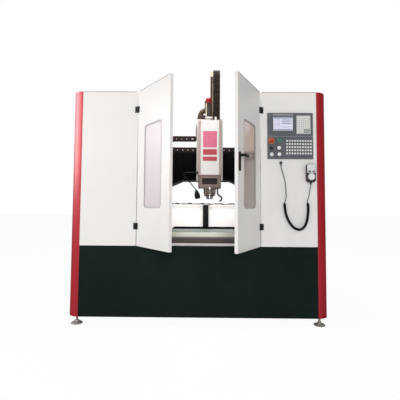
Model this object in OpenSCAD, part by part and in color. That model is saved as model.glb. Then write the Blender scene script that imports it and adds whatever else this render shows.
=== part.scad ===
// Enclosed gantry milling machine: a fixed portal carries the spindle head over a moving table,
// inside a sheet-metal cabinet with two hinged front doors, a control panel and a hand pendant.
// Millimetres. In the modules y = 0 is the cabinet's front face, +Y goes to the back, z = 0 is the floor.

/* [Cabinet] */
// Width over the two red corner columns
overall_w = 2220; // [2100:10:2500]
// Depth from the front face to the rear panel
depth = 1750; // [1700:10:2100]
// Height of the dark base panels
base_h = 597; // [560:1:640]
// Height of the white upper panels
upper_h = 1338; // [1300:1:1400]
// Clear height under the base, taken up by the levelling feet
foot_h = 75; // [65:1:100]
// Radius of the rounded corner columns
column_r = 95; // [80:1:110]
// Thickness of the sheet metal
sheet_t = 2; // [1.5:0.5:3]
// Fold depth of the base panels
base_fold = 37.5; // [34:0.5:45]
// Fold depth of the upper panels and doors
fold = 25; // [22:1:30]
// Width of the lips turned in at the back of the folds
lip = 15; // [10:1:18]
// Height of the low rear panel above the base
rear_h = 368; // [320:1:420]
// Height of the white sill across the door opening
sill_h = 20; // [16:1:24]
// Width of the vertical cable duct on the rear panel
duct_w = 74; // [60:1:90]
// Gap between neighbouring panels
seam = 0.5; // [0.3:0.1:0.8]
// Diameter of a levelling foot's pad
pad_d = 95; // [80:1:110]

/* [Doors] */
// Clear width of the door opening
opening_w = 1070; // [1000:2:1120]
// Gap at the hinge side and between the closed doors
door_gap = 3; // [2:0.5:4]
// Angle at which the left door stands open
left_open = 53.5; // [0:0.5:100]
// Angle at which the right door stands open
right_open = 63.5; // [0:0.5:100]
// Distance from a door window to the door's free edge
window_far = 128.5; // [110:0.5:160]
// Height of a door window
window_h = 684; // [500:1:750]
// Distance from the hinge axis to the window
window_edge = 130; // [100:1:150]
// Height of the window's lower edge above the door's lower edge
window_rise = 326; // [280:1:360]
// Corner radius of the window
window_r = 30; // [20:1:40]
// Thickness of the window sheet
glass_t = 5; // [4:0.5:6]
// Height of the lower hinge above the door's lower edge
hinge_low = 167; // [120:1:200]
// Distance of the upper hinge below the door's upper edge
hinge_drop = 163; // [120:1:200]
// Height of a hinge
hinge_h = 54; // [48:1:60]
// Radius of a hinge pin
hinge_pin_r = 4; // [3:0.5:5]
// Height of the lever's axis above the door's lower edge
lever_rise = 716; // [650:1:760]
// Length of the door lever
lever_l = 96; // [80:1:110]

/* [Mill] */
// Offset of the mill's centre line from the cabinet's
core_x = 75; // [0:5:90]
// Width of the table
table_w = 800; // [760:5:820]
// Depth of the table
table_l = 490; // [470:1:500]
// Thickness of the table
table_t = 43; // [40:1:50]
// Height of the table's top above the base panels
table_rise = 100; // [95:1:120]
// Distance from the cabinet's front to the table's front edge
table_y = 270; // [260:1:290]
// Width of a T-slot
slot_w = 14; // [12:1:18]
// Distance between T-slots
slot_pitch = 90; // [80:1:100]
// Width of a linear rail
rail_w = 23; // [20:1:25]
// Height of a linear rail
rail_h = 24; // [22:1:26]
// Height from a rail's seat to the top of its blocks
rail_stack = 38; // [36:1:42]
// Diameter of the table and cross-axis ball screws
screw_d = 25; // [20:1:28]
// Clear width between the gantry's legs
gantry_clear = 860; // [840:2:900]
// Width of a gantry leg
gantry_leg = 170; // [150:2:190]
// Distance from the cabinet's front to the gantry's front
gantry_y = 940; // [930:1:960]
// Depth of the gantry
gantry_d = 280; // [260:2:320]
// Height of the beam's underside above the table
beam_rise = 533; // [520:1:560]
// Height of the beam
beam_h = 320; // [310:1:340]
// Width of the haunch between beam and leg
haunch_w = 158; // [120:1:180]
// Drop of the haunch at the leg
haunch_h = 67; // [50:1:90]

/* [Head] */
// Position of the head along the beam, from the mill's centre line
head_x = 33; // [-200:1:200]
// Width of the saddle plate
saddle_w = 290; // [280:1:310]
// Height of the saddle plate
saddle_h = 690; // [680:1:720]
// Thickness of the saddle plate
saddle_t = 35; // [30:1:40]
// Width of the head cover
head_w = 248; // [240:1:260]
// Height of the head cover
cover_h = 586; // [560:1:590]
// Height of the cover's lower edge above the beam's underside
cover_rise = 43; // [40:1:60]
// Depth of the head cover
cover_d = 96; // [92:1:110]
// Chamfer of the cover's front edges
cover_chamfer = 28; // [20:1:34]
// Thickness of the slide plate behind the cover
slide_t = 28; // [24:1:32]
// Height of the spindle mount
mount_h = 142; // [130:1:150]
// Diameter of the spindle's barrel
barrel_d = 80; // [70:1:84]
// Diameter of the spindle's nose
nose_d = 130; // [120:1:134]
// Height of the spindle's nose
nose_h = 84; // [78:1:90]
// Diameter of the collet nut
collet_d = 76; // [60:1:80]
// Diameter of the tool bore
tool_d = 12; // [6:1:16]
// Depth of the tool bore
tool_depth = 50; // [40:1:60]
// Diameter of the head's ball screw
z_screw_d = 20; // [16:1:22]
// Offset of the head's ball screw from the head's centre line
z_screw_x = -14; // [-16:1:-10]
// Width over the flats of the axis motors
motor_w = 70; // [60:1:74]

/* [Chains and bellows] */
// Height of a link of the cross-axis chain
x_chain_h = 54; // [48:1:56]
// Width of the cross-axis chain
x_chain_w = 60; // [50:1:66]
// Bend radius of the cross-axis chain
x_chain_r = 64.5; // [60:0.5:70]
// Height of a link of the head chain
z_chain_h = 40; // [36:1:44]
// Width of the head chain
z_chain_w = 74; // [66:1:76]
// Bend radius of the head chain
z_chain_r = 75; // [70:1:80]
// Height of the head chain's loop above the cover
z_chain_rise = 596; // [540:1:620]
// Wanted distance between the pins of a chain
chain_pitch = 59; // [56:1:68]
// Depth of a bellows pleat
pleat_d = 18; // [14:1:20]
// Wanted width of a bellows pleat
pleat_w = 22; // [18:1:28]
// Thickness of the bellows cloth
cloth_t = 2; // [1.5:0.5:2.5]

/* [Control panel] */
// Distance from the door opening to the control panel
panel_in = 56; // [50:1:70]
// Distance from the control panel to the corner column
panel_out = 33; // [25:1:50]
// Height of the display unit
unit_h = 205; // [195:1:210]
// Height of the operator panel below it
operator_h = 196; // [190:1:205]
// Height of the joint between both units above the base panels
panel_rise = 947; // [930:1:960]
// Thickness of the panel plates
plate_t = 10; // [8:1:12]
// Width of the display
display_w = 168; // [160:1:172]
// Height of the display
display_h = 120; // [114:1:124]
// Travel of the push buttons
button_travel = 5; // [3:0.5:6]
// Diameter of the round push buttons
button_d = 34; // [28:1:36]
// Diameter of the emergency stop's mushroom
estop_d = 40; // [36:1:44]

/* [Hand pendant] */
// Width of the pendant
pendant_w = 79; // [74:1:84]
// Height of the pendant
pendant_h = 156; // [146:1:160]
// Thickness of the pendant's case
pendant_t = 36; // [30:1:42]
// Diameter of the pendant's hand wheel
wheel_d = 56; // [50:1:60]
// Diameter of the pendant's selector knobs
selector_d = 19; // [16:1:21]
// Diameter of the straight cord
cord_d = 6; // [5:0.5:7]
// Outer diameter of the curled cord
curl_d = 20; // [16:1:22]

/* [Hidden] */
$fn = 64;
clear = 0.3;      // room between pieces that pass each other
pin_clear = 0.05; // radial clearance of a pin in its bore

base_top = foot_h + base_h;
top_z = base_top + upper_h;
front_w = overall_w - 2 * column_r;   // width of the flat front between the columns
side_w = (front_w - opening_w) / 2;    // width of the front on either side of the opening
door_w = (opening_w - 3 * door_gap) / 2;
window_w = door_gap + door_w - window_edge - window_far;
hinge_high = upper_h - hinge_drop;
hinge_off = 8;                        // hinge axis in front of the cabinet's face
knuckle_r = 8;
leaf_w = 22;
leaf_t = 5;
door_reach = door_w * sin(max(left_open, right_open)) + hinge_off;
front_y = (door_reach - depth) / 2;   // puts the origin under the middle of the whole part

frame_in = base_fold + seam;          // the steel frame starts behind the base panels
tube_w = 60;
tube_h = 100;
foot_inset = frame_in + tube_w / 2;
duct_d = 45;

table_z = base_top + table_rise;
rail_z = table_z - table_t - rail_stack;
deck_z = rail_z - 51;                 // top of the bed between the rail lands
bed_y = 150;
bed_w = 780;
y_rail_x = 300;
rear_room = 420;                      // room behind the way covers for the table's motor
rear_bellows_end = depth - rear_room;
bed_end = rear_bellows_end + 120;
y_screw_z = rail_z - 20;
bearing_t = 26;
bearing_y = [bed_y + 30, rear_bellows_end + 10];
block_l = 90;                         // length of a rail block of the table and the cross axis
journal_step = 6;                     // how much a screw's journals are turned down
motor_l = 130;
motor_cap = 40;
coupling_l = 43;
y_motor_y = bearing_y[1] + bearing_t + coupling_l + 1;
y_motor_end = y_motor_y + motor_l + motor_cap;

beam_z = table_z + beam_rise;
beam_top = beam_z + beam_h;
gantry_w = gantry_clear + 2 * gantry_leg;
leg_x = (gantry_clear + gantry_leg) / 2;
x_rail_z = [beam_z + 60, beam_z + 260];
x_screw_z = beam_z + 160;
x_screw_y = gantry_y - 22;
x_end = gantry_w / 2 - 40;            // the bellows and the rails end here

head_cx = core_x + head_x;
saddle_back = gantry_y - rail_stack;
saddle_y = saddle_back - saddle_t;
saddle_z = beam_z - 10;
saddle_top = saddle_z + saddle_h;
slide_back = saddle_y - rail_stack;
slide_y = slide_back - slide_t;
cover_y = slide_y - cover_d;
cover_z = beam_z + cover_rise;
cover_top = cover_z + cover_h;
mount_z = cover_z - mount_h;
spindle_y = slide_y - 50;
nose_z = mount_z - nose_h;
nut_h = 31;
tool_z = nose_z - nut_h;
shaft_r = 26;
z_rail_x = 95;
z_screw_cx = head_cx + z_screw_x;
z_screw_y = saddle_y - 19;
z_nut_z = cover_z + 280;
nut_w = 60;                           // length of a ball nut's bracket
motor_plate_t = 15;
z_motor_l = 158;
z_motor_cap = 62;
motor_z = saddle_top + motor_plate_t;

x_chain_y = gantry_y + 15;
x_chain_low = beam_top + sheet_t + seam + x_chain_h / 2;
x_chain_fixed = core_x + x_end - 155;
x_chain_bend = core_x - x_end + 175;
x_chain_arm = head_cx - saddle_w / 2 - x_chain_h / 2;
x_chain_high = x_chain_low + 2 * x_chain_r;
arm_h = 40;                           // height of the saddle's arm at the chain's end
tray_rim = 8;                         // room beside the chain in its tray
z_chain_x = head_cx + 35;
z_chain_y = slide_y - 36;
z_chain_top = cover_top + z_chain_rise;
z_chain_bend = z_chain_top - z_chain_r - z_chain_h / 2;
z_chain_start = cover_top + z_chain_h / 2 + seam;
z_chain_anchor = saddle_top + z_chain_h / 2 + seam;

unit_z = base_top + panel_rise;
operator_z = unit_z - seam - operator_h;
panel_w = side_w - panel_in - panel_out;
panel_left = opening_w / 2 + panel_in;
panel_x = panel_left + panel_w / 2;
drawn_w = 391;                        // the panel's layout is drawn this wide and spreads with the panel
spread = panel_w / drawn_w;
knob = min(1, spread);                // size of the buttons and keys on a narrower panel
function across(x) = panel_left + x * spread;
panel_rim = 9;                        // the panel's overlap on the fascia's cut-out
housing_in = 12;                      // the housing's step back from the panel's edge
unit_depth = 110;
operator_depth = 60;
screen_x = across(50);
screen_z = unit_z + unit_h - 37 - display_h;
screen_w = display_w * spread;
screen_rim = 10;
keypad_x = across(249);
keypad_z = unit_z + 21;
keypad_w = 122 * spread;
keypad_h = 161;
recess = plate_t - 3;                 // depth at which the display and the keypad sit
button_r = button_d / 2 * knob;
stem_r = 9 * knob;
stem_back = 8;
estop_r = estop_d / 2 * knob;
estop_collar_r = 28 * knob;
estop_collar_t = 6;
start_w = 36 * knob;
key_r = 15 * knob;
key_pin_r = 6 * knob;
estop_at = [across(32), operator_z + 157];
start_at = [across(97), operator_z + 158];
key_at = [across(32), operator_z + 93];
button_a = [across(97), operator_z + 95];
button_b = [across(34), operator_z + 38];
button_c = [across(100), operator_z + 39];
field_x = 160.5;                      // the sealed key field: its place, pitches and key size as drawn
field_z = 41;
field_dx = 22.6;
field_dz = 27.2;
field_key = 14 * knob;

gland_x = across(113);
gland_z = operator_z - 33.5;
pendant_x = front_w / 2 - 59;
pendant_z = gland_z - 167;            // lower edge of the pendant's case
tail_h = 20;
pad_t = 4;
pendant_y = -pad_t - pendant_t;
wheel_at = [pendant_x, pendant_z + 46];
selector_z = pendant_z + 90;
selector_dx = 17;
wheel_pin_r = 4;
selector_pin_r = 3;
pin_seat = 12;                        // depth of the pins' bores in the pendant

cord_y = -20;
boot_h = 25;                          // height of the gland's boot
cord_drawn = 252;                     // the cord's way is drawn for this distance from gland to pendant
// a point of the cord, measured across from the gland and down from it
function hang(p) = [gland_x + p[0] * (pendant_x - gland_x) / cord_drawn, cord_y, gland_z - p[1]];
// route of the straight lead from the gland to the curl, of the curl, and from the curl to the pendant
lead_a = [for (p = [[0, boot_h], [0, 59], [4, 109], [12, 169], [22, 229], [30, 279], [34, 309], [36, 333]])
             hang(p)];
curl_route = [for (p = [[36, 333.5], [39, 369], [48, 429], [64, 489], [86, 533], [114, 557], [144, 565],
                        [174, 557], [200, 529], [218, 483], [229, 423], [235, 365], [238, 329]])
                 hang(p)];
lead_b = [for (p = [[238, 328.5], [241, 299], [246, 259], [250, 225], [252, 199], [252, 187]]) hang(p)];

lever_u = door_gap + door_w - 32;     // distance of the lever's axis from the hinge axis
lever_pin_r = 6;
rose_w = 32;                          // the lever's backplate
rose_h = 140;
rose_drop = 115;
rose_t = 8;

conduit_r = 20;
lamp_r = 5;
lamp_bend = 20;
lamp_turn = 130;
hose_turns = [0, 0, 0, 6, 14, 20, 16, 4, -14, -24, -26, -24, -20, -14];
hose_seg = 11.5;
hose_r = 9;

// Shared shapes

module rounded_rect(w, h, r) {
    translate([r, 0]) square([w - 2 * r, h]);
    translate([0, r]) square([w, h - 2 * r]);
    for (x = [r, w - r], y = [r, h - r]) translate([x, y]) circle(r);
}

// A plate in the XZ plane, from y = 0 forward to y = -t
module front_plate(w, h, t, r) {
    rotate([90, 0, 0]) linear_extrude(t) rounded_rect(w, h, r);
}

// A round piece along Y, from y = 0 forward to y = -l
module front_disc(r, l) {
    rotate([90, 0, 0]) cylinder(r = r, h = l);
}

// A folded sheet-metal pan: its face at y = 0, folds going back by d, lips turned in behind
module pan(w, d, h, turn) {
    difference() {
        cube([w, d, h]);
        translate([sheet_t, sheet_t, sheet_t]) cube([w - 2 * sheet_t, d - 2 * sheet_t, h - 2 * sheet_t]);
        translate([turn, sheet_t, turn]) cube([w - 2 * turn, d, h - 2 * turn]);
    }
}

// Outline of a folded cloth: n pleats over a length l, from v = 0 to v = d
function pleat_count(l) = max(2, round(l / pleat_w));
function pleats(l, n, d) = concat(
    [for (i = [0 : 2 * n]) [i * l / (2 * n), (i % 2) * (d - cloth_t)]],
    [for (i = [2 * n : -1 : 0]) [i * l / (2 * n), (i % 2) * (d - cloth_t) + cloth_t]]);

// A bellows of length l along X: pleated face toward -Y, with pleated upper and lower walls
module bellows(l, h, d, n) {
    linear_extrude(h) polygon(pleats(l, n, pleat_d));
    for (z = [0, h])
        translate([0, d, z]) mirror([0, 0, z > 0 ? 1 : 0]) rotate([90, 0, 0]) linear_extrude(d)
            polygon(pleats(l, n, pleat_d));
}

// A point on a chain's loop: a straight run, half a turn of radius r, and back
function loop_point(s, run, r) =
    s < run ? [s, 0]
    : s < run + PI * r ? let (a = (s - run) / r * 180 / PI) [run + r * sin(a), r - r * cos(a)]
    : [run - (s - run - PI * r), 2 * r];

// One chain link of length l along X: two side plates with an eye, joined by two cross bars
module chain_link(l, h, w, inner) {
    t = 6;
    half = w / 2 - (inner ? t + clear : 0);
    for (side = [-1, 1])
        translate([0, side > 0 ? half : t - half, 0]) rotate([90, 0, 0]) linear_extrude(t)
            difference() {
                union() {
                    translate([0, -h / 2]) square([l, h]);
                    circle(h / 2 - clear);
                    translate([l, 0]) circle(h / 2 - clear);
                }
                translate([l / 2, 0]) circle(h * 0.2);
            }
    for (z = [-1, 1])
        translate([l * 0.3, -half, z * (h / 2 - 2) - 2]) cube([l * 0.4, 2 * half, 4]);
}

// A whole chain in the XZ plane: the run leaves the origin along +X and comes back a loop higher
module chain(run, back, r, h, w) {
    whole = run + PI * r + back;
    n = round(whole / chain_pitch);
    for (i = [0 : n - 1]) {
        p = loop_point(i * whole / n, run, r);
        q = loop_point((i + 1) * whole / n, run, r);
        translate([p[0], 0, p[1]]) rotate([0, -atan2(q[1] - p[1], q[0] - p[0]), 0])
            chain_link(norm(q - p) - clear, h, w, i % 2 == 1);
    }
}

// A round tube swept along points, as rings of n corners square to the path
function unit(v) = v / norm(v);
function tangent(path, i) = unit(path[min(i + 1, len(path) - 1)] - path[max(i - 1, 0)]);
function ring(path, i, r, n) =
    let (t = tangent(path, i), u = unit(cross([0, 1, 0], t)), v = cross(t, u))
    [for (k = [0 : n - 1]) path[i] + r * (cos(360 * k / n) * u + sin(360 * k / n) * v)];
module swept_tube(path, r, n) {
    last = len(path) - 1;
    polyhedron(
        points = [for (i = [0 : last]) each ring(path, i, r, n)],
        faces = concat(
            [[for (k = [0 : n - 1]) k]],
            [for (i = [0 : last - 1], k = [0 : n - 1])
                [i * n + k, (i + 1) * n + k, (i + 1) * n + (k + 1) % n, i * n + (k + 1) % n]],
            [[for (k = [n - 1 : -1 : 0]) last * n + k]]));
}

// A servo motor along +Z: flange, finned square body and a round encoder cap
module servo(cap_h, body_h) {
    r = motor_w / 2;
    translate([-r, -r, 0]) linear_extrude(10) rounded_rect(motor_w, motor_w, 6);
    translate([0, 0, 10]) linear_extrude(body_h - 10)
        difference() {
            translate([-r + 2, -r + 2]) rounded_rect(motor_w - 4, motor_w - 4, 14);
            for (a = [0 : 90 : 270], k = [-12, 0, 12])
                rotate(a) translate([k - 2, r - 5]) square([4, 6]);
        }
    translate([0, 0, body_h]) rotate_extrude()
        polygon([[0, 0], [r - 4, 0], [r - 4, cap_h * 0.55], [r - 10, cap_h * 0.9], [r - 18, cap_h],
                 [0, cap_h]]);
}

// Puts a door's own piece on its hinge: hinge axis along Z, the leaf going toward the cabinet's middle
module hung(side, open) {
    translate([side * opening_w / 2, -hinge_off, base_top]) rotate([0, 0, side * open])
        mirror([side > 0 ? 1 : 0, 0, 0]) children();
}

// Cabinet

module foot() {
    r = pad_d / 2;
    rotate_extrude()
        polygon([[0, 0], [r - 3, 0], [r, 3], [r, 9], [r - 6, 13], [20, 22], [17, 30], [10, 30],
                 [10, foot_h], [0, foot_h]]);
    translate([0, 0, foot_h - 14]) cylinder(d = 34, h = 14, $fn = 6);
}

module levelling_feet() color("gainsboro")
    for (x = [-1, 1], y = [foot_inset, depth - foot_inset])
        translate([x * (overall_w / 2 - foot_inset), y, 0]) foot();

// Welded steel ring on the feet, with the cast bed that carries the table's rails and the gantry
module bed() color("dimgray") {
    ring_w = overall_w - 2 * frame_in;
    ring_d = depth - 2 * frame_in;
    land_w = 70;
    bearing_w = 80;
    difference() {
        union() {
            difference() {
                translate([-ring_w / 2, frame_in, foot_h]) cube([ring_w, ring_d, tube_h]);
                translate([tube_w - ring_w / 2, frame_in + tube_w, foot_h - 1])
                    cube([ring_w - 2 * tube_w, ring_d - 2 * tube_w, tube_h + 2]);
            }
            for (y = [bed_y + 60, gantry_y, gantry_y + gantry_d - tube_w, bed_end - tube_w])
                translate([-ring_w / 2 + 1, y, foot_h]) cube([ring_w - 2, tube_w, tube_h]);
            translate([core_x - bed_w / 2, bed_y, foot_h + tube_h - 1])
                cube([bed_w, bed_end - bed_y, deck_z - foot_h - tube_h + 1]);
            translate([core_x - gantry_w / 2 - 10, gantry_y - 20, foot_h + tube_h - 1])
                cube([gantry_w + 20, gantry_d + 40, deck_z - foot_h - tube_h + 1]);
            for (x = [-1, 1])
                translate([core_x + x * y_rail_x - land_w / 2, bed_y, deck_z - 1])
                    cube([land_w, bed_end - bed_y, rail_z - deck_z + 1]);
            for (y = bearing_y)
                translate([core_x - bearing_w / 2, y, deck_z - 1])
                    cube([bearing_w, bearing_t, y_screw_z - deck_z + 36]);
        }
        for (y = bearing_y)
            translate([core_x, y - 1, y_screw_z]) rotate([-90, 0, 0])
                cylinder(d = screw_d - journal_step + 2 * pin_clear, h = bearing_t + 2);
        // seat of the table's motor, level with its flange
        translate([core_x - motor_w / 2 - 2, y_motor_y - 2, y_screw_z - motor_w / 2])
            cube([motor_w + 4, bed_end - y_motor_y + 3, motor_w]);
    }
}

module base_front_panel() color("darkslategray")
    translate([-front_w / 2 + seam, 0, foot_h]) pan(front_w - 2 * seam, base_fold, base_h - seam, lip);

// Left, right and rear base walls folded from one sheet, with turned-in flanges
module base_skirt() color("darkslategray") {
    w = overall_w;
    l = depth - column_r - seam;
    translate([-w / 2, column_r + seam, foot_h])
        difference() {
            cube([w, l, base_h]);
            translate([sheet_t, -1, sheet_t]) cube([w - 2 * sheet_t, l - sheet_t + 1, base_h - 2 * sheet_t]);
            translate([base_fold, -1, -1]) cube([w - 2 * base_fold, l - base_fold + 1, base_h + 2]);
        }
}

module quarter(r) {
    intersection() {
        circle(r);
        translate([0, -r]) square(r);
    }
}

// Rounded corner column: a rolled quarter shell with a flat cap and two turned-in flanges
module column(side) {
    shell = sheet_t + 1;
    translate([side * (overall_w / 2 - column_r), column_r, foot_h]) mirror([side > 0 ? 0 : 1, 0, 0]) {
        linear_extrude(top_z - foot_h) {
            difference() {
                quarter(column_r);
                quarter(column_r - shell);
            }
            translate([0, -column_r]) square([shell, 18]);
            translate([column_r - 18, -shell]) square([18, shell]);
        }
        translate([0, 0, top_z - foot_h - shell]) linear_extrude(shell) quarter(column_r);
    }
}
module left_column() color("crimson") column(-1);
module right_column() color("crimson") column(1);

// One welded front: left and right panels, deep jambs at the opening, and the sill between them
module front_fascia() color("whitesmoke") {
    pan_w = side_w - seam;
    cut_w = panel_w - 2 * panel_rim;
    cut_h = unit_h + seam + operator_h - 2 * panel_rim;
    difference() {
        union() {
            for (side = [-1, 1]) mirror([side > 0 ? 1 : 0, 0, 0]) {
                translate([-opening_w / 2 - pan_w, 0, base_top]) pan(pan_w, fold, upper_h, lip);
                translate([-opening_w / 2 - sheet_t, 0, base_top]) cube([sheet_t, base_fold, upper_h]);
            }
            translate([-opening_w / 2 - 1, fold + sheet_t + seam, base_top])
                cube([opening_w + 2, base_fold - fold - sheet_t - seam, sill_h]);
        }
        translate([panel_x - cut_w / 2, -1, operator_z + panel_rim]) cube([cut_w, fold, cut_h]);
    }
}

module side_panel(side) {
    translate([side * overall_w / 2, column_r + seam, base_top]) mirror([side > 0 ? 1 : 0, 0, 0])
        mirror([1, -1, 0]) pan(depth - column_r - seam, fold, upper_h, lip);
}
module left_side_panel() color("whitesmoke") side_panel(-1);
module right_side_panel() color("whitesmoke") side_panel(1);

module rear_panel() color("whitesmoke") {
    w = overall_w - 2 * fold - 2 * seam;
    translate([w / 2, depth, base_top]) rotate([0, 0, 180]) pan(w, fold, rear_h, lip);
}

// Trunking for the motor cables, screwed to the inside of the rear panel
module cable_duct() color("black") {
    h = rear_h - 12;
    translate([core_x - duct_w / 2, depth - fold - duct_d, base_top + 6])
        difference() {
            cube([duct_w, duct_d, h]);
            translate([sheet_t, sheet_t, -1]) cube([duct_w - 2 * sheet_t, duct_d - 2 * sheet_t, h + 2]);
        }
}

// Sheet-metal tray round the bed: hung on the base flanges, its floor lying on the gantry's pads
module chip_tray() color("rosybrown") {
    w = overall_w - 2 * base_fold - 2;
    y0 = base_fold + 2;
    l = depth - fold - seam - y0;
    wall_in = 14;
    room = 2;
    floor_cut = 10;
    difference() {
        union() {
            translate([-w / 2, y0, deck_z]) cube([w, l - wall_in, base_top - deck_z]);
            translate([-w / 2 - fold / 2 + 2, column_r + seam, base_top])
                cube([w + fold - 4, depth - fold - seam - column_r - seam, sheet_t]);
        }
        translate([sheet_t - w / 2, y0 + sheet_t, deck_z + sheet_t])
            cube([w - 2 * sheet_t, l - wall_in - 2 * sheet_t, base_top]);
        translate([core_x - bed_w / 2 - room, bed_y - room, deck_z - 1])
            cube([bed_w + 2 * room, bed_end - bed_y + 2 * room, floor_cut]);
        translate([core_x - motor_w / 2 - room, bed_end, deck_z - 1])
            cube([motor_w + 2 * room, y_motor_end - bed_end + room, floor_cut]);
        // the cables' way down from the duct
        translate([core_x - duct_w / 2 + sheet_t, depth - fold - duct_d + sheet_t, base_top - 1])
            cube([duct_w - 2 * sheet_t, duct_d - 2 * sheet_t, floor_cut]);
        for (x = [-1, 1])
            translate([core_x + x * leg_x - gantry_leg / 2 - room, gantry_y - room, deck_z - 1])
                cube([gantry_leg + 2 * room, gantry_d + 2 * room, floor_cut]);
    }
}

// Mill

// Cast portal: two legs and a beam with haunches, a tray for the chain, and the screw's bearing blocks
module gantry() color([0.09, 0.1, 0.1]) {
    half = gantry_w / 2;
    inner = gantry_clear / 2;
    bearing_x = x_end - bearing_t / 2;
    wall = 40;
    leg_wall = 30;
    foot_wall = 60;
    difference() {
        union() {
            translate([core_x, gantry_y + gantry_d, 0]) rotate([90, 0, 0]) linear_extrude(gantry_d)
                polygon([[-half, deck_z], [-inner, deck_z], [-inner, beam_z - haunch_h],
                         [haunch_w - inner, beam_z], [inner - haunch_w, beam_z], [inner, beam_z - haunch_h],
                         [inner, deck_z], [half, deck_z], [half, beam_top], [-half, beam_top]]);
            translate([core_x - half, x_chain_y - tray_rim, beam_top - 1]) {
                cube([gantry_w, x_chain_w + 2 * tray_rim, sheet_t + 1]);
                cube([gantry_w, sheet_t, 12]);
            }
            for (x = [-1, 1])
                translate([core_x + x * bearing_x - bearing_t / 2, x_screw_y - 14, x_screw_z - 30])
                    cube([bearing_t, gantry_y - x_screw_y + 15, 60]);
        }
        translate([core_x - half - 1, x_screw_y, x_screw_z]) rotate([0, 90, 0])
            cylinder(d = screw_d - journal_step + 2 * pin_clear, h = gantry_w + 2);
        for (x = [-1, 1])
            translate([core_x + x * leg_x - gantry_leg / 2 + leg_wall, gantry_y + wall, deck_z + foot_wall])
                cube([gantry_leg - 2 * leg_wall, gantry_d, beam_z - deck_z - foot_wall - haunch_h]);
        translate([core_x - inner + foot_wall, gantry_y + wall, beam_z + wall])
            cube([gantry_clear - 2 * foot_wall, gantry_d, beam_h - 2 * wall]);
    }
}

module rail(l) {
    half = rail_w / 2;
    linear_extrude(l)
        polygon([[-half, 0], [half, 0], [half, rail_h * 0.35], [half - 3, rail_h * 0.5],
                 [half, rail_h * 0.68], [half, rail_h], [-half, rail_h], [-half, rail_h * 0.68],
                 [3 - half, rail_h * 0.5], [-half, rail_h * 0.35]]);
}

module linear_rails() color("silver") {
    for (x = [-1, 1])
        translate([core_x + x * y_rail_x, bed_end - 20, rail_z])
            rotate([90, 0, 0]) rail(bed_end - bed_y - 40);
    for (z = x_rail_z)
        translate([core_x - x_end, gantry_y, z]) rotate([0, 90, 0]) rotate([0, 0, 180]) rail(2 * x_end);
}

// A rail block: a bar bridging a rail, with its seat toward +Y of the rail's profile
module rail_block(l) {
    w = rail_w + 34;
    linear_extrude(l)
        difference() {
            translate([-w / 2, 5]) square([w, rail_stack - 5]);
            translate([-rail_w / 2 - clear, 0]) square([rail_w + 2 * clear, rail_h + clear]);
        }
}

module feed_motors() color("black") {
    translate([core_x, y_motor_y, y_screw_z]) rotate([-90, 0, 0]) servo(motor_cap, motor_l);
    translate([core_x + gantry_w / 2, x_screw_y, x_screw_z]) rotate([0, 90, 0]) servo(motor_cap, motor_l);
}

module x_chain() color([0.16, 0.1, 0.09])
    translate([x_chain_fixed, x_chain_y + x_chain_w / 2, x_chain_low]) mirror([1, 0, 0])
        chain(x_chain_fixed - x_chain_bend, x_chain_arm - x_chain_bend, x_chain_r, x_chain_h, x_chain_w);

module x_bellows(x0, x1) {
    l = x1 - x0;
    translate([x0, saddle_back - pleat_d, beam_z + 6]) bellows(l, beam_h - 12, pleat_d + 6, pleat_count(l));
}
module x_bellows_left() color([0.05, 0.06, 0.07])
    x_bellows(core_x - x_end + bearing_t + 1, head_cx - saddle_w / 2 - clear);
module x_bellows_right() color([0.05, 0.06, 0.07])
    x_bellows(head_cx + saddle_w / 2 + clear, core_x + x_end - bearing_t - 1);

// Pleated way cover between y0 and y1: a roof of width w with side skirts down to the rail lands
module way_cover(y0, y1, w, top, d) {
    l = y1 - y0;
    n = pleat_count(l);
    translate([core_x - w / 2, y0, top]) rotate([90, 0, 90]) mirror([0, 1, 0])
        linear_extrude(w) polygon(pleats(l, n, d));
    for (x = [-1, 1])
        translate([core_x + x * w / 2, y0, rail_z + 0.5]) mirror([x > 0 ? 1 : 0, 0, 0]) mirror([1, -1, 0])
            linear_extrude(top - rail_z - d / 2) polygon(pleats(l, n, d));
}
module y_bellows_front() color([0.2, 0.19, 0.19])
    way_cover(bed_y + 10, table_y + 14, bed_w - 4, table_z - table_t - seam, 10);
module y_bellows_rear() color([0.06, 0.06, 0.06])
    way_cover(table_y + table_l + clear, rear_bellows_end, bed_w - 4, table_z - 6, pleat_d);

// T-slotted table on its rail blocks, with the ball nut's bracket below
module table() color("lightgray") {
    slots = floor((table_l - 60) / slot_pitch);
    slot_depth = 24;
    difference() {
        union() {
            translate([core_x - table_w / 2, table_y, table_z - table_t]) cube([table_w, table_l, table_t]);
            for (x = [-1, 1], y = [table_y + 20, table_y + table_l - 20 - block_l])
                translate([core_x + x * y_rail_x, y + block_l, rail_z])
                    rotate([90, 0, 0]) rail_block(block_l);
            translate([core_x - nut_w / 2, table_y + (table_l - nut_w) / 2, y_screw_z - 24])
                cube([nut_w, nut_w, table_z - table_t - y_screw_z + 25]);
        }
        for (i = [0 : slots])
            translate([core_x - table_w / 2 - 1, table_y + table_l / 2 + (i - slots / 2) * slot_pitch,
                       table_z - slot_depth]) {
                translate([0, -slot_w / 2, 0]) cube([table_w + 2, slot_w, slot_depth + 1]);
                translate([0, -slot_w, 0]) cube([table_w + 2, 2 * slot_w, 11]);
            }
        translate([core_x, table_y, y_screw_z]) rotate([-90, 0, 0])
            cylinder(d = screw_d + 2 * clear, h = table_l);
    }
}

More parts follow.
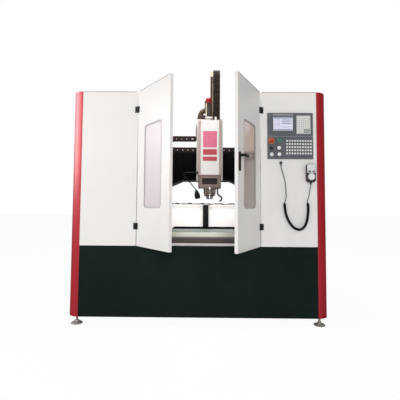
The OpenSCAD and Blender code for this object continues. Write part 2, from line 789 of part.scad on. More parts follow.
// A ball screw along +Z between bearings that start reach apart, with turned-down journals
// and a coupling of length grip at its driven end
module ball_screw(reach, d, grip) {
    journal = bearing_t + seam;
    l = reach + bearing_t - 2 * journal;
    cylinder(d = d - journal_step, h = journal);
    translate([0, 0, journal]) cylinder(d = d, h = l);
    translate([0, 0, journal + l]) cylinder(d = d - journal_step, h = journal);
    translate([0, 0, 2 * journal + l]) cylinder(d = d + 2 * journal_step, h = grip);
}

module y_screw() color("silver")
    translate([core_x, bearing_y[0], y_screw_z]) rotate([-90, 0, 0])
        ball_screw(bearing_y[1] - bearing_y[0], screw_d, coupling_l);

module x_screw() color("silver")
    translate([core_x - x_end, x_screw_y, x_screw_z]) rotate([0, 90, 0])
        ball_screw(2 * x_end - bearing_t, screw_d, gantry_w / 2 - x_end - 1);

// Head

// Cross-slide plate with its rail blocks, ball nut, head rails, motor plate and chain arm
module saddle() color("whitesmoke") {
    w = saddle_w / 2;
    bearing_w = 48;
    difference() {
        union() {
            translate([head_cx - w, saddle_y, saddle_z]) cube([saddle_w, saddle_t, saddle_h]);
            for (x = [-1, 1], z = x_rail_z)
                translate([head_cx + x * (w - block_l / 2 - 10) - block_l / 2, gantry_y, z])
                    rotate([0, 90, 0]) rotate([0, 0, 180]) rail_block(block_l);
            translate([head_cx - nut_w / 2, saddle_back - 1, x_screw_z - bearing_w / 2])
                cube([nut_w, gantry_y - saddle_back - 1, bearing_w]);
            for (x = [-1, 1])
                translate([head_cx + x * z_rail_x, saddle_y, saddle_z + 15])
                    rotate([0, 0, 180]) rail(saddle_h - 30);
            for (z = [saddle_z + 10, saddle_top - bearing_t])
                translate([z_screw_cx - bearing_w / 2, saddle_y - 34, z]) cube([bearing_w, 35, bearing_t]);
            translate([z_screw_cx - motor_w / 2, z_screw_y - motor_w / 2, saddle_top])
                cube([z_chain_x - 1 - z_screw_cx + motor_w / 2, saddle_back - z_screw_y + motor_w / 2,
                      motor_plate_t]);
            translate([head_cx - w, saddle_back - 1, x_chain_high - arm_h / 2])
                cube([16, x_chain_y + x_chain_w - saddle_back + 1, arm_h]);
        }
        translate([core_x - gantry_w, x_screw_y, x_screw_z]) rotate([0, 90, 0])
            cylinder(d = screw_d + 2 * clear, h = 2 * gantry_w);
        translate([z_screw_cx, z_screw_y, saddle_z])
            cylinder(d = z_screw_d - journal_step + 2 * pin_clear, h = saddle_h + 2 * motor_plate_t);
        translate([z_screw_cx, z_screw_y, saddle_top - 1])
            cylinder(d = z_screw_d + 14, h = motor_plate_t + 2);
    }
}

module z_motor() color("dimgray")
    translate([z_screw_cx, z_screw_y, motor_z]) servo(z_motor_cap, z_motor_l);

module z_screw() color("silver")
    translate([z_screw_cx, z_screw_y, saddle_z + 10])
        ball_screw(saddle_h - 10 - bearing_t, z_screw_d, motor_plate_t - 1);

// Angle-section post on the saddle's motor plate that the head chain's fixed run leans on
module z_chain_post() color("tan") {
    t = 4;
    w = 28;
    front = saddle_back - 14;
    right = z_chain_x - 1;
    back = z_chain_y + 2 * z_chain_r + z_chain_h / 2 + 1;
    h = z_chain_top - t - motor_z;
    translate([right - w, front, motor_z]) cube([w, saddle_back - front, 6]);
    translate([right - w, front, motor_z]) cube([w, t, h]);
    translate([right - t, front, motor_z]) cube([t, back + t - front, h]);
    translate([right - t, back, motor_z]) cube([z_chain_w + t + 1, t, 60]);
}

// Cable conduit from the cross-axis chain up over the saddle's shoulder to the head's motor
module cable_conduit() color([0.15, 0.11, 0.08]) {
    x = z_screw_cx - motor_w / 2;
    s = head_cx - saddle_w / 2;
    z = saddle_top;
    arm = x_chain_high + arm_h / 2;
    swept_tube([[x - 1, saddle_y + 12, z + 100], [x - 22, saddle_y + 14, z + 106],
                [x - 48, saddle_y + 22, z + 98], [x - 68, saddle_y + 34, z + 72],
                [s + 12, saddle_back + 16, z + 30],
                [s + 8, saddle_back + 34, z - 30], [s + 8, x_chain_y + 6, z - 90],
                [s + 8, x_chain_y + 26, arm + 50], [s + 8, x_chain_y + 28, arm + 20],
                [s + 8, x_chain_y + 28, arm]], conduit_r, 12);
}

module z_chain() color([0.13, 0.13, 0.13])
    translate([z_chain_x + z_chain_w / 2, z_chain_y, z_chain_start]) rotate([0, 0, 90]) rotate([0, -90, 0])
        mirror([0, 0, 1])
            chain(z_chain_bend - z_chain_start, z_chain_bend - z_chain_anchor, z_chain_r, z_chain_h,
                  z_chain_w);

// Cast slide on the saddle's rails: plate, blocks and ball nut, with the spindle's bored clamp in front,
// which has a stepped foot and a framed window
module head_slide() color([0.42, 0.36, 0.35]) {
    z_block_l = 80;
    w = head_w - 26;
    front = cover_y + 2;
    step_h = 14;
    frame_w = 30;
    difference() {
        union() {
            translate([head_cx - head_w / 2, slide_y, mount_z])
                cube([head_w, slide_t, cover_top - 30 - mount_z]);
            for (x = [-1, 1], z = [z_nut_z + 10, cover_top - 126])
                translate([head_cx + x * z_rail_x, saddle_y, z]) rotate([0, 0, 180]) rail_block(z_block_l);
            translate([z_screw_cx - 22, slide_back - 1, z_nut_z]) cube([44, 35, nut_w]);
            translate([head_cx - w / 2, front, mount_z + step_h])
                cube([w, slide_y - front + 1, mount_h - step_h - seam]);
            translate([head_cx - w / 2 + 7, front + 5, mount_z])
                cube([w - 14, slide_y - front - 4, step_h + 1]);
        }
        translate([z_screw_cx, z_screw_y, z_nut_z - 1]) cylinder(d = z_screw_d + 2 * clear, h = nut_w + 2);
        translate([head_cx, spindle_y, mount_z - 1]) cylinder(d = barrel_d + 2 * pin_clear, h = mount_h + 2);
        translate([head_cx - w / 2 + frame_w, front - 1, mount_z + 40])
            cube([w - 2 * frame_w, spindle_y - front - barrel_d / 2 + 9, mount_h - 76]);
    }
}

// Folded cover with chamfered front edges, closed at the top, open behind and below
module head_cover() color("whitesmoke") {
    half = head_w / 2;
    c = cover_chamfer;
    t = sheet_t;
    outer = [[-half, cover_d], [-half, c], [c - half, 0], [half - c, 0], [half, c], [half, cover_d]];
    k = t * tan(22.5);
    inner = [[t - half, cover_d + 1], [t - half, c + k], [c - half + k, t], [half - c - k, t],
             [half - t, c + k], [half - t, cover_d + 1]];
    translate([head_cx, cover_y, cover_z])
        difference() {
            linear_extrude(cover_h) polygon(outer);
            translate([0, 0, -1]) linear_extrude(cover_h + 1 - t) polygon(inner);
        }
}

// Spindle cartridge: barrel in the clamp, stepped nose below it
module spindle_motor() color("silver") {
    r = nose_d / 2;
    rim_z = mount_z - 12;
    barrel_top = cover_top - 90;
    translate([head_cx, spindle_y, 0])
        difference() {
            rotate_extrude()
                polygon([[0, nose_z], [r - 14, nose_z], [r - 6, nose_z + 8], [r - 6, nose_z + 22],
                         [r, nose_z + 26], [r, rim_z], [r + 3, rim_z], [r + 3, mount_z],
                         [barrel_d / 2, mount_z], [barrel_d / 2, barrel_top], [0, barrel_top]]);
            translate([0, 0, nose_z - 1]) cylinder(r = shaft_r + pin_clear, h = nose_h + 41);
            for (a = [0 : 45 : 315])
                rotate(a) translate([r + 2, 0, nose_z + 24]) cylinder(r = 6, h = rim_z - nose_z - 24);
        }
}

// Turning spindle: shaft, castellated collet nut and the tool's bore
module spindle_shaft() color("lightsteelblue")
    translate([head_cx, spindle_y, 0])
        difference() {
            union() {
                translate([0, 0, nose_z - 2]) cylinder(r = shaft_r, h = nose_h + 40);
                rotate_extrude()
                    polygon([[0, tool_z], [collet_d / 2 - 12, tool_z], [collet_d / 2 - 4, tool_z + 7],
                             [collet_d / 2, tool_z + 10], [collet_d / 2, nose_z - 2], [0, nose_z - 2]]);
            }
            translate([0, 0, tool_z - 1]) cylinder(d = tool_d, h = tool_depth + 1);
            for (a = [0 : 45 : 315])
                rotate(a) translate([collet_d / 2 - 3, -4, tool_z - 1]) cube([8, 8, nut_h - 6]);
        }

// An elbow of the lamp's arm, along +Z and then toward -X, with a collar where the next piece goes on
module elbow(bend, turn) {
    translate([-bend, 0, 0]) {
        rotate([90, 0, 0]) rotate_extrude(angle = turn) translate([bend, 0]) circle(lamp_r);
        rotate([0, -turn, 0]) translate([bend, 0, 0]) {
            translate([0, 0, -2]) cylinder(r = lamp_r + 1, h = 4);
            children();
        }
    }
}

// Gooseneck work lamp: a swivel knob on the head's side, an arm bent back under itself, a hanging lamp head
module work_lamp() color([0.08, 0.07, 0.07]) {
    reach = 135;
    neck = 196;
    translate([head_cx - head_w / 2, cover_y + 60, cover_z + 28]) rotate([0, -90, 0]) {
        cylinder(r = 17, h = 16);
        translate([0, 0, 10]) cylinder(r = lamp_r, h = reach - 10);
        translate([0, 0, reach]) elbow(lamp_bend, lamp_turn) {
            cylinder(r = lamp_r, h = neck);
            translate([0, 0, neck]) mirror([1, 0, 0]) elbow(lamp_bend, 28)
                translate([0, 0, -2]) rotate_extrude()
                    polygon([[0, 0], [10, 0], [15, 8], [28, 44], [31, 66], [27, 88], [22, 94], [0, 94]]);
        }
    }
}

// Jointed coolant hose: short tapered segments along a curved line, ending in a nozzle
function hose_angle(i) = i < 0 ? 0 : hose_turns[i] + hose_angle(i - 1);
function hose_at(i) =
    i <= 0 ? [0, 0] : hose_at(i - 1) + hose_seg * [sin(hose_angle(i - 1)), -cos(hose_angle(i - 1))];
module coolant_hose() color([0.1, 0.09, 0.1]) {
    nut = 8;
    last = len(hose_turns) - 1;
    translate([head_cx + 84, cover_y + 40, mount_z - nut]) {
        cylinder(r = hose_r + 4, h = nut, $fn = 6);
        for (i = [0 : last])
            translate([hose_at(i)[0], 0, hose_at(i)[1]]) rotate([0, -hose_angle(i), 0]) mirror([0, 0, 1])
                cylinder(r1 = hose_r, r2 = i == last ? hose_r - 5.5 : hose_r - 2.5, h = hose_seg + 3);
    }
}

// Doors

module door_leaf() {
    translate([door_gap, hinge_off, 0])
        difference() {
            pan(door_w, fold, upper_h, lip);
            translate([window_edge - door_gap, sheet_t + 1, window_rise])
                front_plate(window_w, window_h, sheet_t + 2, window_r);
        }
}
module left_door() color("whitesmoke") hung(-1, left_open) door_leaf();

module window_sheet() {
    over = 14;
    translate([window_edge - over, hinge_off + sheet_t + glass_t, window_rise - over])
        front_plate(window_w + 2 * over, window_h + 2 * over, glass_t, window_r);
}
module left_window() color([0.85, 0.8, 0.82, 0.6]) hung(-1, left_open) window_sheet();
module right_window() color([0.6, 0.58, 0.55, 0.6]) hung(1, right_open) window_sheet();

module right_door() color("whitesmoke") hung(1, right_open)
    difference() {
        door_leaf();
        translate([lever_u, hinge_off + sheet_t + 1, lever_rise])
            front_disc(lever_pin_r + clear, sheet_t + 2);
    }

// A hinge's knuckle stretch on the pin's axis, with a flag lying on the panel's face
module knuckle(z0, z1, flag_side, bore) {
    difference() {
        union() {
            translate([0, 0, z0]) cylinder(r = knuckle_r, h = z1 - z0);
            translate([flag_side > 0 ? 0 : -leaf_w, hinge_off - leaf_t, z0]) cube([leaf_w, leaf_t, z1 - z0]);
        }
        translate([0, 0, z0 - 1]) cylinder(r = bore, h = z1 - z0 + 2);
        if (flag_side < 0)
            translate([-door_gap / 2, hinge_off - 0.01, z0 - 1])
                cube([2 * knuckle_r, knuckle_r, z1 - z0 + 2]);
    }
}

module fixed_hinge_leaves() color([0.13, 0.11, 0.1])
    for (side = [-1, 1], z = [hinge_low, hinge_high])
        hung(side, 0) {
            third = hinge_h / 3;
            difference() {
                union() {
                    knuckle(z - hinge_h / 2, z - hinge_h / 2 + third - clear, -1, hinge_pin_r - 0.5);
                    knuckle(z + hinge_h / 2 - third + clear, z + hinge_h / 2, -1, hinge_pin_r - 0.5);
                    translate([-leaf_w, hinge_off - leaf_t, z - hinge_h / 2])
                        cube([leaf_w - knuckle_r - 1, leaf_t, hinge_h]);
                    translate([0, 0, z - hinge_h / 2]) cylinder(r = hinge_pin_r, h = hinge_h);
                }
                behind_face(z);
            }
        }

// All that lies behind the panels' faces at a hinge
module behind_face(z) {
    translate([-2 * leaf_w, hinge_off, z - hinge_h]) cube([4 * leaf_w, 2 * knuckle_r, 2 * hinge_h]);
}

module moving_leaves() {
    third = hinge_h / 3;
    for (z = [hinge_low, hinge_high])
        difference() {
            union() {
                translate([0, 0, z - third / 2]) cylinder(r = knuckle_r - clear, h = third);
                translate([0, hinge_off - leaf_t, z - third / 2]) cube([knuckle_r + 2, leaf_t, third]);
                translate([knuckle_r + 1, hinge_off - leaf_t, z - hinge_h / 2])
                    cube([leaf_w - knuckle_r - 1, leaf_t, hinge_h]);
            }
            translate([0, 0, z - hinge_h]) cylinder(r = hinge_pin_r + pin_clear, h = 2 * hinge_h);
            behind_face(z);
        }
}
module left_hinge_leaves() color([0.13, 0.11, 0.1]) hung(-1, left_open) moving_leaves();

// The right door's black fittings: its hinge leaves and the lever's backplate
module right_door_fittings() color([0.14, 0.12, 0.11]) hung(1, right_open) {
    moving_leaves();
    difference() {
        translate([lever_u - rose_w / 2, hinge_off, lever_rise - rose_drop])
            front_plate(rose_w, rose_h, rose_t, 8);
        translate([lever_u, hinge_off + 1, lever_rise]) front_disc(lever_pin_r + pin_clear, rose_t + 2);
    }
}

module door_lever() color([0.16, 0.14, 0.12]) hung(1, right_open) {
    neck = 26;
    grip_h = 20;
    inside = 12;
    translate([lever_u, hinge_off, lever_rise]) {
        translate([0, inside, 0]) front_disc(lever_pin_r, inside + rose_t + clear);
        translate([0, -rose_t - clear, 0]) {
            front_disc(lever_pin_r + 5, neck);
            translate([grip_h / 2 - lever_l, -neck, -grip_h / 2]) front_plate(lever_l, grip_h, 12, 9);
        }
    }
}

// Control panel

// Display unit: bezel with a raised rim round the screen and the keypad, housing behind the fascia
module control_unit() color([0.3, 0.33, 0.34]) {
    difference() {
        union() {
            translate([panel_left, 0, unit_z]) front_plate(panel_w, unit_h, plate_t, 4);
            translate([panel_left + housing_in, -1, unit_z + 3])
                cube([panel_w - 2 * housing_in, unit_depth + 1, unit_h - 3 - housing_in]);
            translate([screen_x - screen_rim, -plate_t + 1, screen_z - screen_rim])
                front_plate(screen_w + 2 * screen_rim, display_h + 2 * screen_rim, 5, 6);
        }
        translate([screen_x, -recess, screen_z]) front_plate(screen_w, display_h, 20, 1);
        translate([keypad_x, -recess, keypad_z]) front_plate(keypad_w, keypad_h, 10, 3);
    }
}

module display() color([0.85, 0.86, 0.92])
    translate([screen_x + seam, -recess, screen_z + seam])
        front_plate(screen_w - 2 * seam, display_h - 2 * seam, 4, 1);

// Data keypad: a pale plate with six columns of small keys
module mdi_keypad() color([0.8, 0.82, 0.8]) {
    w = keypad_w - 2 * seam;
    h = keypad_h - 2 * seam;
    cols = 6;
    rows = 8;
    rim = 7;
    gap = 3;
    dx = (w - 2 * rim) / cols;
    dz = (h - 2 * rim) / rows;
    translate([keypad_x + seam, -recess, keypad_z + seam]) {
        front_plate(w, h, 4, 3);
        for (i = [0 : cols - 1], j = [0 : rows - 1])
            translate([rim + i * dx + gap / 2, -4, rim + j * dz + gap / 2])
                front_plate(dx - gap, dz - gap, 2, 2);
    }
}

// Operator panel: plate with bushed holes for the buttons and a sealed field of fifty keys
module operator_panel() color([0.3, 0.33, 0.35]) {
    cols = 10;
    rows = 5;
    difference() {
        union() {
            translate([panel_left, 0, operator_z]) front_plate(panel_w, operator_h, plate_t, 4);
            translate([panel_left + housing_in, -1, operator_z + housing_in])
                cube([panel_w - 2 * housing_in, operator_depth + 1, operator_h - 3 - housing_in]);
            translate([estop_at[0], -plate_t, estop_at[1]]) front_disc(estop_collar_r, estop_collar_t);
            for (i = [0 : cols - 1], j = [0 : rows - 1])
                translate([across(field_x + i * field_dx), -plate_t + 1, operator_z + field_z + j * field_dz])
                    front_plate(field_key, field_key, 3, 2 * knob);
        }
        for (p = [estop_at, start_at, button_a, button_b, button_c]) {
            translate([p[0], 1, p[1]]) front_disc(stem_r + clear, plate_t + 10);
            translate([p[0], operator_depth / 2, p[1]]) front_disc(stem_r + 4, operator_depth / 2);
        }
        translate([key_at[0], 1, key_at[1]]) front_disc(key_pin_r + pin_clear, plate_t + 2);
    }
}

module stem(p, cap_y) {
    translate([p[0], stem_back, p[1]]) front_disc(stem_r, stem_back - cap_y);
}

module emergency_stop() color("orangered") {
    cap_y = -plate_t - estop_collar_t - button_travel - 3;
    r = estop_r;
    stem(estop_at, cap_y);
    translate([estop_at[0], cap_y, estop_at[1]]) rotate([90, 0, 0]) rotate_extrude()
        polygon([[0, 0], [r * 0.75, 0], [r, 4], [r, 11], [r * 0.8, 16], [r * 0.4, 18], [0, 18]]);
}

module start_button() color("seagreen") {
    cap_y = -plate_t - button_travel - 1;
    stem(start_at, cap_y);
    translate([start_at[0] - start_w / 2, cap_y, start_at[1] - start_w / 2])
        front_plate(start_w, start_w, 9, 4);
}

module round_button(p) {
    cap_y = -plate_t - button_travel - 1;
    stem(p, cap_y);
    translate([p[0], cap_y, p[1]]) rotate([90, 0, 0]) rotate_extrude()
        polygon([[0, 0], [button_r, 0], [button_r, 6], [button_r - 3, 9], [0, 10]]);
}
module upper_button() color("white") round_button(button_a);
module lower_left_button() color("white") round_button(button_b);
module lower_right_button() color("white") round_button(button_c);

module key_switch() color([0.07, 0.07, 0.08])
    translate([key_at[0], 0, key_at[1]]) {
        front_disc(key_pin_r, plate_t + seam);
        translate([0, -plate_t - clear, 0]) {
            front_disc(key_r, 9);
            translate([0, -8, 0]) rotate([0, 28, 0]) translate([-key_r, 0, -key_r * 4 / 15])
                front_plate(2 * key_r, key_r * 8 / 15, 12, key_r / 5);
        }
    }

// Hand pendant and its cord

module cord_gland() color([0.1, 0.1, 0.11]) {
    translate([gland_x, 0, gland_z]) front_disc(11, 6);
    translate([gland_x, -5, gland_z]) front_disc(9, 26);
    translate([gland_x, cord_y, gland_z - boot_h]) rotate_extrude()
        polygon([[0, 0], [cord_d / 2 + 2, 0], [8, boot_h - 7], [8, boot_h], [0, boot_h]]);
}

// Pendant case: rounded body on two magnet pads, with a tail for the cord and seats for wheel and selectors
module pendant_case() color([0.16, 0.16, 0.17]) {
    w = pendant_w;
    difference() {
        union() {
            translate([pendant_x - w / 2, -pad_t, pendant_z]) front_plate(w, pendant_h, pendant_t, 22);
            translate([pendant_x - w / 2 + 7, pendant_y + 1, pendant_z + 8])
                front_plate(w - 14, pendant_h - 16, 4, 17);
            for (z = [32, pendant_h - 32])
                translate([pendant_x, 0, pendant_z + z]) front_disc(16, pad_t + 1);
            translate([pendant_x, cord_y, pendant_z - tail_h]) rotate_extrude()
                polygon([[0, 0], [cord_d / 2 + 2, 0], [9, 14], [9, tail_h + 2], [0, tail_h + 2]]);
        }
        translate([wheel_at[0], pendant_y + pin_seat, wheel_at[1]]) front_disc(wheel_pin_r + pin_clear, 20);
        for (x = [-1, 1])
            translate([pendant_x + x * selector_dx, pendant_y + pin_seat, selector_z])
                front_disc(selector_pin_r + pin_clear, 20);
    }
}

module pendant_wheel() color("gainsboro")
    translate([wheel_at[0], pendant_y - 3, wheel_at[1]]) {
        r = wheel_d / 2;
        translate([0, pin_seat + 2, 0]) front_disc(wheel_pin_r, pin_seat + 3);
        translate([0, -clear, 0]) rotate([90, 0, 0]) rotate_extrude()
            polygon([[0, 0], [r, 0], [r, 8], [r - 3, 11], [r - 8, 9], [0, 9]]);
        translate([r - 15, -8, 0]) front_disc(5, 10);
    }

module selector(x) {
    translate([pendant_x + x * selector_dx, pendant_y - 3, selector_z]) {
        translate([0, pin_seat + 2, 0]) front_disc(selector_pin_r, pin_seat + 3);
        translate([0, -clear, 0]) front_disc(selector_d / 2, 8);
        translate([-selector_d / 2 + 1, -8, -2.5]) front_plate(selector_d - 2, 5, 5, 2);
    }
}
module axis_selector() color([0.1, 0.1, 0.1]) selector(-1);
module step_selector() color([0.1, 0.1, 0.1]) selector(1);

module pendant_leads() color([0.12, 0.12, 0.12]) {
    swept_tube(lead_a, cord_d / 2, 8);
    swept_tube(lead_b, cord_d / 2, 8);
}
module pendant_curl() color([0.1, 0.1, 0.1]) swept_tube(curl_route, curl_d / 2, 12);

// Placing

module placed() translate([0, front_y, 0]) children();

placed() levelling_feet();
placed() bed();
placed() base_front_panel();
placed() base_skirt();
placed() left_column();
placed() right_column();
placed() front_fascia();
placed() left_side_panel();
placed() right_side_panel();
placed() rear_panel();
placed() cable_duct();
placed() chip_tray();
placed() gantry();
placed() linear_rails();
placed() feed_motors();
placed() x_chain();
placed() x_bellows_left();
placed() x_bellows_right();
placed() y_bellows_front();
placed() y_bellows_rear();
placed() control_unit();
placed() display();
placed() mdi_keypad();
placed() operator_panel();
placed() fixed_hinge_leaves();
placed() cord_gland();
placed() pendant_case();
placed() pendant_leads();
placed() pendant_curl();
placed() left_door();
placed() left_window();
placed() left_hinge_leaves();
placed() right_door();
placed() right_window();
placed() right_door_fittings();
placed() door_lever();
placed() table();
placed() y_screw();
placed() x_screw();
placed() saddle();
placed() z_motor();
placed() z_chain_post();
placed() cable_conduit();
placed() z_chain();
placed() z_screw();
placed() head_slide();
placed() head_cover();
placed() spindle_motor();
placed() spindle_shaft();
placed() work_lamp();
placed() coolant_hose();
placed() emergency_stop();
placed() start_button();
placed() upper_button();
placed() lower_left_button();
placed() lower_right_button();
placed() key_switch();
placed() pendant_wheel();
placed() axis_selector();
placed() step_selector();
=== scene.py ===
import math

import bmesh
import bpy
import numpy as np
from mathutils import Matrix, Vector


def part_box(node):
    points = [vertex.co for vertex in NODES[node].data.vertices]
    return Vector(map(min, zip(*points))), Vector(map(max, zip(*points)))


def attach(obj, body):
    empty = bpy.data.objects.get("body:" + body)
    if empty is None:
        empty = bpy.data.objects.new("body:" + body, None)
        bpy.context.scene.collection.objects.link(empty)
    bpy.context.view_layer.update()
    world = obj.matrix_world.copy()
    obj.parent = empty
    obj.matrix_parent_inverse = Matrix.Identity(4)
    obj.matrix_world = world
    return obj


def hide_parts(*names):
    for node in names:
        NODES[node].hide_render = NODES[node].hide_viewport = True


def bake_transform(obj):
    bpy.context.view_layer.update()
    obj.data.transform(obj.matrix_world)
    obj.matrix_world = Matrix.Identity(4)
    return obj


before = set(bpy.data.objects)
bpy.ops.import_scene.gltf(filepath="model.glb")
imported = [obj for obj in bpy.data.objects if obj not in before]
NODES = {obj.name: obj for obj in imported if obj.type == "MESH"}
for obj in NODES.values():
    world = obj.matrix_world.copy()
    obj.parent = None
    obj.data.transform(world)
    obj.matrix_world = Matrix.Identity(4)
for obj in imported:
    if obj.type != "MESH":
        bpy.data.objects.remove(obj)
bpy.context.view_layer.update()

MM = 0.001
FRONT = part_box("base_front_panel")[0][1]  # where the cabinet's front face stands in the shared frame

# Sizes of the CAD part that the added pieces follow, in millimetres; y counts from the cabinet's front face
BASE_TOP = 672.0
TOP = 2010.0
FOOT = 75.0
HALF_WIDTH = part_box("right_column")[1][0] / MM
DEPTH = 1750.0
COLUMN_R = HALF_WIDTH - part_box("right_column")[0][0] / MM
OPENING = 1070.0
HINGE_OFF = 8.0
OPEN_ANGLE = {-1: 53.5, 1: 63.5}
CORE_X = 75.0
HEAD_X = 108.0
PANEL_X = 786.5
UNIT_Z = 1619.0
OPERATOR_Z = 1422.5
PLATE = 10.0
CORD_Y = -20.0


def placed(points):
    """Millimetres from the cabinet's front face, as metres in the shared frame: p * 0.001 + (0, FRONT, 0)."""
    return np.asarray(points, float) * MM + np.array([0.0, FRONT, 0.0])


# Camera

CAMERA_AT = (38.0, -3053.0, 1004.0)
FOCAL_PX = 355.8
FRAME_PX = 400.0
SENSOR = 36.0
PITCH = math.radians(3.39)
YAW = math.radians(0.5)
ROLL = math.radians(0.4)
AXIS_RISE_PX = 13.9

camera_data = bpy.data.cameras.new("photo_camera")
camera_data.sensor_width = SENSOR
camera_data.lens = FOCAL_PX / FRAME_PX * SENSOR
camera_data.shift_y = -AXIS_RISE_PX / FRAME_PX
camera_data.clip_end = 200.0
camera = bpy.data.objects.new("photo_camera", camera_data)
bpy.context.scene.collection.objects.link(camera)
camera.matrix_world = (
    Matrix.Translation(placed(CAMERA_AT))
    @ Matrix.Rotation(YAW, 4, "Z")
    @ Matrix.Rotation(math.pi / 2 + PITCH, 4, "X")
    @ Matrix.Rotation(ROLL, 4, "Z")
)
bpy.context.scene.camera = camera


# Surfaces as arrays

def unit(v):
    """Each vector divided by its length."""
    return v / np.linalg.norm(v, axis=-1, keepdims=True)


def smooth_line(points, step):
    """Catmull-Rom cubic through the points, read off again at equal arc lengths of about step."""
    p = np.asarray(points, float)
    q = np.vstack([2 * p[0] - p[1], p, 2 * p[-1] - p[-2]])
    t = np.linspace(0, 1, 24, endpoint=False)[:, None]
    a, b, c, d = q[:-3, None], q[1:-2, None], q[2:-1, None], q[3:, None]
    curve = 0.5 * (2 * b + (c - a) * t + (2 * a - 5 * b + 4 * c - d) * t**2 + (3 * b - a - 3 * c + d) * t**3)
    curve = np.vstack([curve.reshape(-1, 3), p[-1:]])
    s = np.r_[0, np.cumsum(np.linalg.norm(np.diff(curve, axis=0), axis=1))]
    u = np.linspace(0, s[-1], max(2, round(s[-1] / step)) + 1)
    return np.stack([np.interp(u, s, curve[:, k]) for k in range(3)], -1)


def grid_faces(rows, cols, wrap_rows=False, wrap_cols=True):
    """Quads (i, j) (i, j+1) (i+1, j+1) (i+1, j) of a rows by cols grid, closed round either way."""
    i = np.arange(rows if wrap_rows else rows - 1)[:, None]
    j = np.arange(cols if wrap_cols else cols - 1)[None, :]
    below, right = (i + 1) % rows, (j + 1) % cols
    return np.stack([i * cols + j, i * cols + right, below * cols + right, below * cols + j], -1).reshape(-1, 4)


def loft(rings):
    """Rings of equal counts joined one after another, with both ends closed by a flat face."""
    rings = np.asarray(rings, float)
    k, m = rings.shape[:2]
    faces = grid_faces(k, m).tolist()
    faces += [list(range(m))[::-1], list(range((k - 1) * m, k * m))]
    return rings.reshape(-1, 3), faces


def closed_loft(rings):
    """Rings joined one after another and the last one back to the first, as round a frame."""
    rings = np.asarray(rings, float)
    return rings.reshape(-1, 3), grid_faces(*rings.shape[:2], wrap_rows=True).tolist()


def circle(r, n):
    """n points (r cos a, r sin a)."""
    a = np.linspace(0, 2 * math.pi, n, endpoint=False)
    return np.stack([r * np.cos(a), r * np.sin(a)], -1)


def rounded(w, h, r, n=6):
    """Outline of a w by h rectangle about the origin: four quarter circles of radius r, n points in each."""
    a = np.linspace(0, math.pi / 2, n)[None, :] + np.arange(4)[:, None] * math.pi / 2
    sx = np.array([1, -1, -1, 1])[:, None]
    sz = np.array([1, 1, -1, -1])[:, None]
    return np.stack([sx * (w / 2 - r) + r * np.cos(a), sz * (h / 2 - r) + r * np.sin(a)], -1).reshape(-1, 2)


def lathe(profile, n=40):
    """Profile points (r, h) turned about the Z axis."""
    p = np.asarray(profile, float)
    ring = circle(1.0, n)
    xy = p[:, None, :1] * ring[None]
    return loft(np.concatenate([xy, np.broadcast_to(p[:, None, 1:], xy.shape[:2] + (1,))], -1))


def tube(path, radius, n, up=(0.0, 1.0, 0.0)):
    """A circle of the given radius, one number or one for each point, carried along the path square to it."""
    path = np.asarray(path, float)
    t = unit(np.gradient(path, axis=0))
    u = unit(np.cross(up, t))
    v = np.cross(t, u)
    ring = circle(1.0, n)
    r = np.broadcast_to(radius, (len(path),))[:, None, None]
    return loft(path[:, None] + r * (ring[None, :, :1] * u[:, None] + ring[None, :, 1:] * v[:, None]))


FLAT_RIM = 0.3  # a narrow rim level with the face keeps the face flat under smooth shading


def slab(w, h, t, r, edge=0.0, n=6):
    """A w by h rounded plate standing from y = 0 forward to y = -t, its front edge eased by edge."""
    steps = np.array([0.0, 0.35, 0.75, 1.0]) if edge else np.array([0.0])
    ins = edge * (1 - np.sqrt(np.maximum(0, 1 - steps**2)))
    depth = np.r_[0.0, t - edge + edge * steps, t]
    inset = np.r_[0.0, ins, ins[-1] + FLAT_RIM]
    rings = [np.insert(rounded(w - 2 * i, h - 2 * i, max(r - i, 0.1), n), 1, -d, axis=1) for d, i in zip(depth, inset)]
    return loft(rings)


def box_at(low, high):
    """A plain bar between two corners, as two square rings."""
    (x0, y0, z0), (x1, y1, z1) = low, high
    ring = np.array([[x0, y0], [x1, y0], [x1, y1], [x0, y1]])
    return loft([np.insert(ring, 2, z, axis=1) for z in (z0, z1)])


def moved(part, offset):
    """A surface shifted by offset."""
    return part[0] + np.asarray(offset, float), part[1]


def turned(part, degrees):
    """A surface turned about the Z axis: (x cos a - y sin a, x sin a + y cos a, z)."""
    c, s = math.cos(math.radians(degrees)), math.sin(math.radians(degrees))
    return part[0] @ np.array([[c, s, 0.0], [-s, c, 0.0], [0.0, 0.0, 1.0]]), part[1]


def facing_front(part):
    """A surface turned so that its +Z points out of the cabinet's front: (x, y, z) to (x, -z, y)."""
    x, y, z = part[0].T
    return np.stack([x, -z, y], -1), part[1]


def repeated(part, offsets):
    """One surface copied to every offset, as whole arrays."""
    offsets = np.asarray(offsets, float).reshape(-1, 3)
    n = len(part[0])
    verts = (part[0][None] + offsets[:, None]).reshape(-1, 3)
    faces = [[i + k * n for i in f] for k in range(len(offsets)) for f in part[1]]
    return verts, faces


def hung(points, side):
    """Door coordinates (u from the hinge axis, v from it to the back, z from the base) to the open door's place."""
    p = np.asarray(points, float)
    a = math.radians(side * OPEN_ANGLE[side])
    x, y = -side * p[:, 0], p[:, 1]
    return np.stack([
        side * OPENING / 2 + x * math.cos(a) - y * math.sin(a),
        -HINGE_OFF + x * math.sin(a) + y * math.cos(a),
        BASE_TOP + p[:, 2],
    ], -1)


def on_door(part, side):
    """A surface given in door coordinates, put on that door."""
    return hung(part[0], side), part[1]


